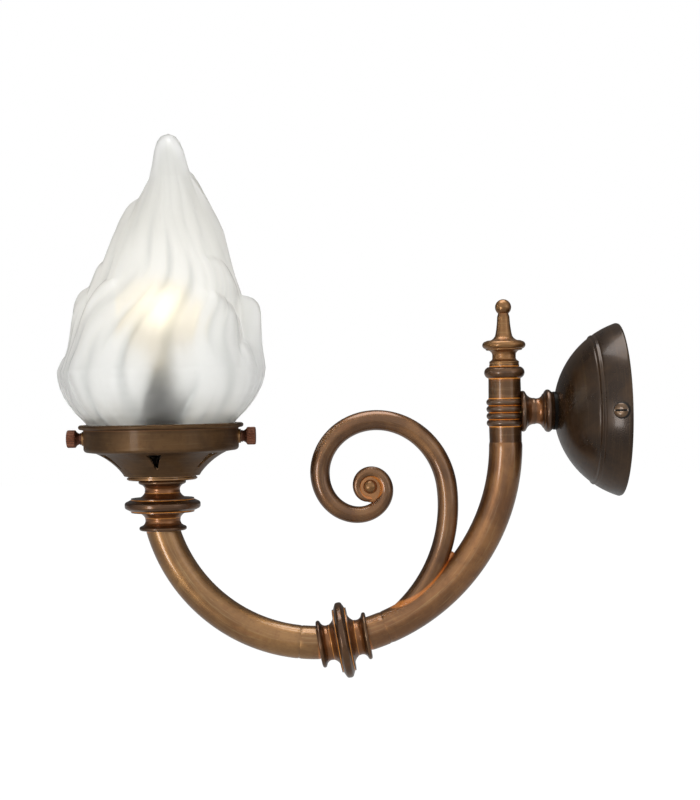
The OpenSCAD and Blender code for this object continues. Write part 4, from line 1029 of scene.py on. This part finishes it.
FOOT, GLASS_WALL, DOME_AT, DOME_H, COLUMNS = -12.9, 3.3, 149, 12.5, 288
neck_z = [FOOT, FOOT + 0.6, -6, -1]
out_z = np.r_[neck_z, np.linspace(0, 158.1, 190)[:-1], FLAME_H - 7.5 * np.linspace(1, 0, 24) ** 2]
dome = DOME_AT + DOME_H * np.sin(np.radians(np.linspace(0, 90, 18)))
in_z = np.r_[neck_z, np.linspace(0.5, DOME_AT, 90)[:-1], dome]
outer = flame_grid(out_z, COLUMNS, 0.0, 1.0)
inner = flame_grid(in_z, COLUMNS // 2, GLASS_WALL, 0.1)
middle_line = inner.mean(1, keepdims=True)
drawn_in = np.sqrt(1 - np.clip((in_z - DOME_AT) / DOME_H, 0, 1) ** 2)[:, None, None]
inner = middle_line + (inner - middle_line) * drawn_in
outer[-1] = outer[-1].mean(0)
inner = np.repeat(inner, 2, axis=1)
inner[:, 1::2] = (inner[:, 0::2] + np.roll(inner[:, 0::2], -1, axis=1)) / 2
outer_count = len(out_z) * COLUMNS
j = np.arange(COLUMNS)
k = (j + 1) % COLUMNS
squares = [quads_of(len(out_z), COLUMNS), quads_of(len(in_z), COLUMNS, outer_count)[:, ::-1],
        np.column_stack([k, j, outer_count + j, outer_count + k])]
turn = np.linspace(0, 360, COLUMNS, endpoint=False)
crest = np.concatenate([folds(turn, np.clip(z, 0, None)[:, None]).ravel() for z in (out_z, in_z)])
flame = mesh_piece("flame_glass", np.concatenate([outer.reshape(-1, 3), inner.reshape(-1, 3)]),
        np.concatenate(squares), {"fold": np.clip(0.5 + crest / 2.2, 0, 1)}, sharp=80)
print("flame_glass:", len(flame.data.polygons), "faces")

# %% [markdown]
# Frosted glass lets light through but scatters it: what stands close behind stays readable, and what
# is far behind melts away. That is a rough transmission on both faces of a thin wall. On top of that,
# light and shade are painted: crests of the folds whiter than the valleys, in other tones near the foot
# and the top, and a faint cream glow of the bulb round it as emission.

# %% Frosted glass
def frosted(name):
    """Painted light and shade: valleys and crests mixed by the kept fold, each in tones for the foot, the
    middle and the top. The painted glow of the bulb is one within 30 mm of the bulb and nothing at
    85 mm, and less in the valleys."""
    f = Finish(name, transmission_weight=0.95, ior=1.33, emission_strength=0.02)
    space = f.coords()
    cloud = f.noise(space, 45.0, 4.0, 0.6, 0.5)
    grain = f.noise(space, 2200.0, 2.0)
    height = f.node("ShaderNodeSeparateXYZ", {}, {0: space}, out="Z")
    up, down = f.ramp(height, 0.08, 0.125), f.ramp(height, 0.016, -0.004)
    # Painted light and shade: crests whiter than valleys, the crests dimmer near the top and dimmer and warmer near
    # the foot.
    crests = f.mix(up, (0.995, 0.995, 0.98), (0.88, 0.88, 0.86))
    crests = f.mix(down, crests, (0.87, 0.86, 0.82))
    valleys = f.mix(up, (0.80, 0.81, 0.795), (0.83, 0.83, 0.81))
    fold = f.ramp(f.value("fold"), 0.0, 0.65)
    away = f.node("ShaderNodeVectorMath", {"operation": "DISTANCE"}, {
        0: space, 1: ((AXIS_X - 6) * MM, 0, 0.078)}, out="Value")
    # Painted glow: emission on the glass round the bulb, as light the bulb casts on it.
    painted_halo = f.ramp(away, 0.03, 0.085, 1.0, 0.0) * (0.4 + 0.6 * fold)
    return f.feed(base_color=f.mix(fold, valleys, crests),
            emission_color=f.mix(painted_halo, (0, 0, 0), (1.0, 0.80, 0.42)),
            roughness=0.36 + 0.08 * f.ramp(cloud, 0.3, 0.7), normal=f.bump(grain, 0.00002, 0.25))


FROST = frosted("frosted_glass")
finish_piece(flame, FROST, "flame_shade", body="shade", slot="frosted_glass")
print("glass finish:", len(FROST.node_tree.nodes), "nodes")

# %% [markdown]
# ## The bulb
# A round opal bulb, lit. Its glass glows in a belt at the height of the filament, and most in a spot
# in the middle of that belt.

# %% Bulb
def lit_glass(name, strength, belt_at):
    """Light as 0.3 times a belt, by the height from belt_at, plus 0.7 times a spot, by the distance
    from the belt's middle as seen across the arm."""
    f = Finish(name, base_color=(0.30, 0.29, 0.26), roughness=0.5, emission_strength=strength)
    space = f.coords()
    cloud = f.noise(space, 30.0, 2.0)
    at = f.outputs("ShaderNodeSeparateXYZ", {0: space})
    rise, aside = at["Z"] - belt_at, at["X"] - (AXIS_X + 5) * MM
    belt = f.ramp((rise * rise) ** 0.5, 0.002, 0.022, 1.0, 0.0)
    spot = f.ramp((rise * rise + aside * aside) ** 0.5 + 0.006 * cloud, 0.005, 0.019, 1.0, 0.0)
    return f.feed(emission_color=f.mix(0.3 * belt + 0.7 * spot, (0.46, 0.41, 0.33), (1.0, 0.89, 0.67)))


by_slot["bulb_glow"] = lit_glass("bulb_glow", 1.2, 0.061)
print("bulb finish:", by_slot["bulb_glow"].name)

# %% [markdown]
# ## Everything that stays as solid
# The small and hidden solids already have the right shape. They keep it and take their finish.

# %% Finishes of the kept solids
slot_of = {row["node"]: row["material_slot"] for row in record["subparts"]}
for name, node in frame["nodes"].items():
    node.data.materials.clear()
    node.data.materials.append(HEADS if name == "side_screws" else by_slot.get(slot_of[name], FROST))
print("solids finished:", len(frame["nodes"]))

# %% [markdown]
# ## The floor
# The light is seen against white. The floor lies well under the arm. It glows by itself to the
# camera and through the glass, and less in the metal, whose underside mirrors it.

# %% Floor
FLOOR_Z = -0.45
floor_mesh = bpy.data.meshes.new("studio_floor")
corners = [(x, y, FLOOR_Z) for x, y in ((-6, -4), (6, -4), (6, 8), (-6, 8))]
floor_mesh.from_pydata(corners, [], [(0, 1, 2, 3)])
floor = add_object(floor_mesh, "studio_floor")


def rays_of(finish):
    """Which ray is asking: the camera's, one through the glass, or one mirrored by metal."""
    seen = finish.outputs("ShaderNodeLightPath")
    direct, through = seen["Is Camera Ray"], seen["Is Transmission Ray"]
    return direct, through, seen["Is Glossy Ray"] * (1 - through)


f = Finish("floor_white", base_color=(0.9, 0.9, 0.9), roughness=0.9)
direct, through, mirrored = rays_of(f)
glow = f.node("ShaderNodeEmission", {}, {"Color": 1.12 * direct + 1.03 * through + 0.4 * mirrored})
blend = f.node("ShaderNodeMixShader", {}, {0: 0.85 * direct + 0.95 * through + 0.85 * mirrored,
        1: Wire(f, f.shader.outputs[0]), 2: glow})
out = next(n for n in f.tree.nodes if n.type == "OUTPUT_MATERIAL")
f.tree.links.new(blend.socket, out.inputs["Surface"])
floor_mesh.materials.append(f.material)
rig.stage(floor)
print("floor at", FLOOR_Z, "m")

# %% [markdown]
# ## World and lamps
# The world is white to the camera and through the glass. Metal sees it bright in front and dark
# behind. Three broad lamps add soft streaks: a key low on the left, a weak fill, and one above.

# %% World and lamps
world = bpy.data.worlds.new("studio")
bpy.context.scene.world = world
world.use_nodes = True
world.node_tree.nodes.clear()


class WorldTree(Finish):
    """The same helpers on the world's own tree, which has no Principled shader."""

    def __init__(self, tree):
        self.tree = tree


w = WorldTree(world.node_tree)
direct, through, mirrored = rays_of(w)
way = w.outputs("ShaderNodeSeparateXYZ", {0: w.node("ShaderNodeTexCoord", out="Generated")})
behind, above = w.ramp(way["Y"], -0.75, 0.5, 0.85, 0.10), w.ramp(way["Z"], -0.6, 0.8, 0.8, 1.1)
others = 1 - direct - through - mirrored
level = direct + 1.04 * through + behind * above * mirrored + 0.55 * others
sky = w.node("ShaderNodeBackground", {}, {"Color": (1, 1, 1), "Strength": level})
end = w.tree.nodes.new("ShaderNodeOutputWorld")
w.tree.links.new(sky.socket, end.inputs["Surface"])


def lamp(name, place_, aim, size, power):
    """A rectangular lamp of size metres at a place, turned so that it shines at the aim."""
    light = bpy.data.lights.new(name, "AREA")
    light.shape, light.size, light.size_y, light.energy = "RECTANGLE", *size, power
    away = Vector(place_) - Vector(aim)
    item = add_object(light, name)
    item.matrix_world = Matrix.Translation(place_) @ away.to_track_quat("Z", "Y").to_matrix().to_4x4()


middle = (-0.16, 0, 0)
lamp("soft_key", (-0.85, -0.92, -0.36), middle, (0.25, 0.9), 6)
lamp("soft_fill", (0.9, -0.9, 0.3), middle, (0.5, 0.9), 1)
lamp("soft_top", (-0.2, 0.1, 1.2), middle, (1.0, 0.8), 10)
print("lamps:", sum(o.type == "LIGHT" for o in bpy.data.objects))

# %% [markdown]
# ## Sizes, and the end
# The box of the solids and the box of what is seen are written side by side, to be compared.

# %% Sizes for the record, and the end
bpy.context.view_layer.update()
new_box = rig.bounds()
with open("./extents.json", "w") as out_file:
    json.dump({"cad": [list(map(float, corner)) for corner in cad_box],
            "visual": [list(map(float, corner)) for corner in new_box]}, out_file)
print("boxes:", json.load(open("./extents.json")))
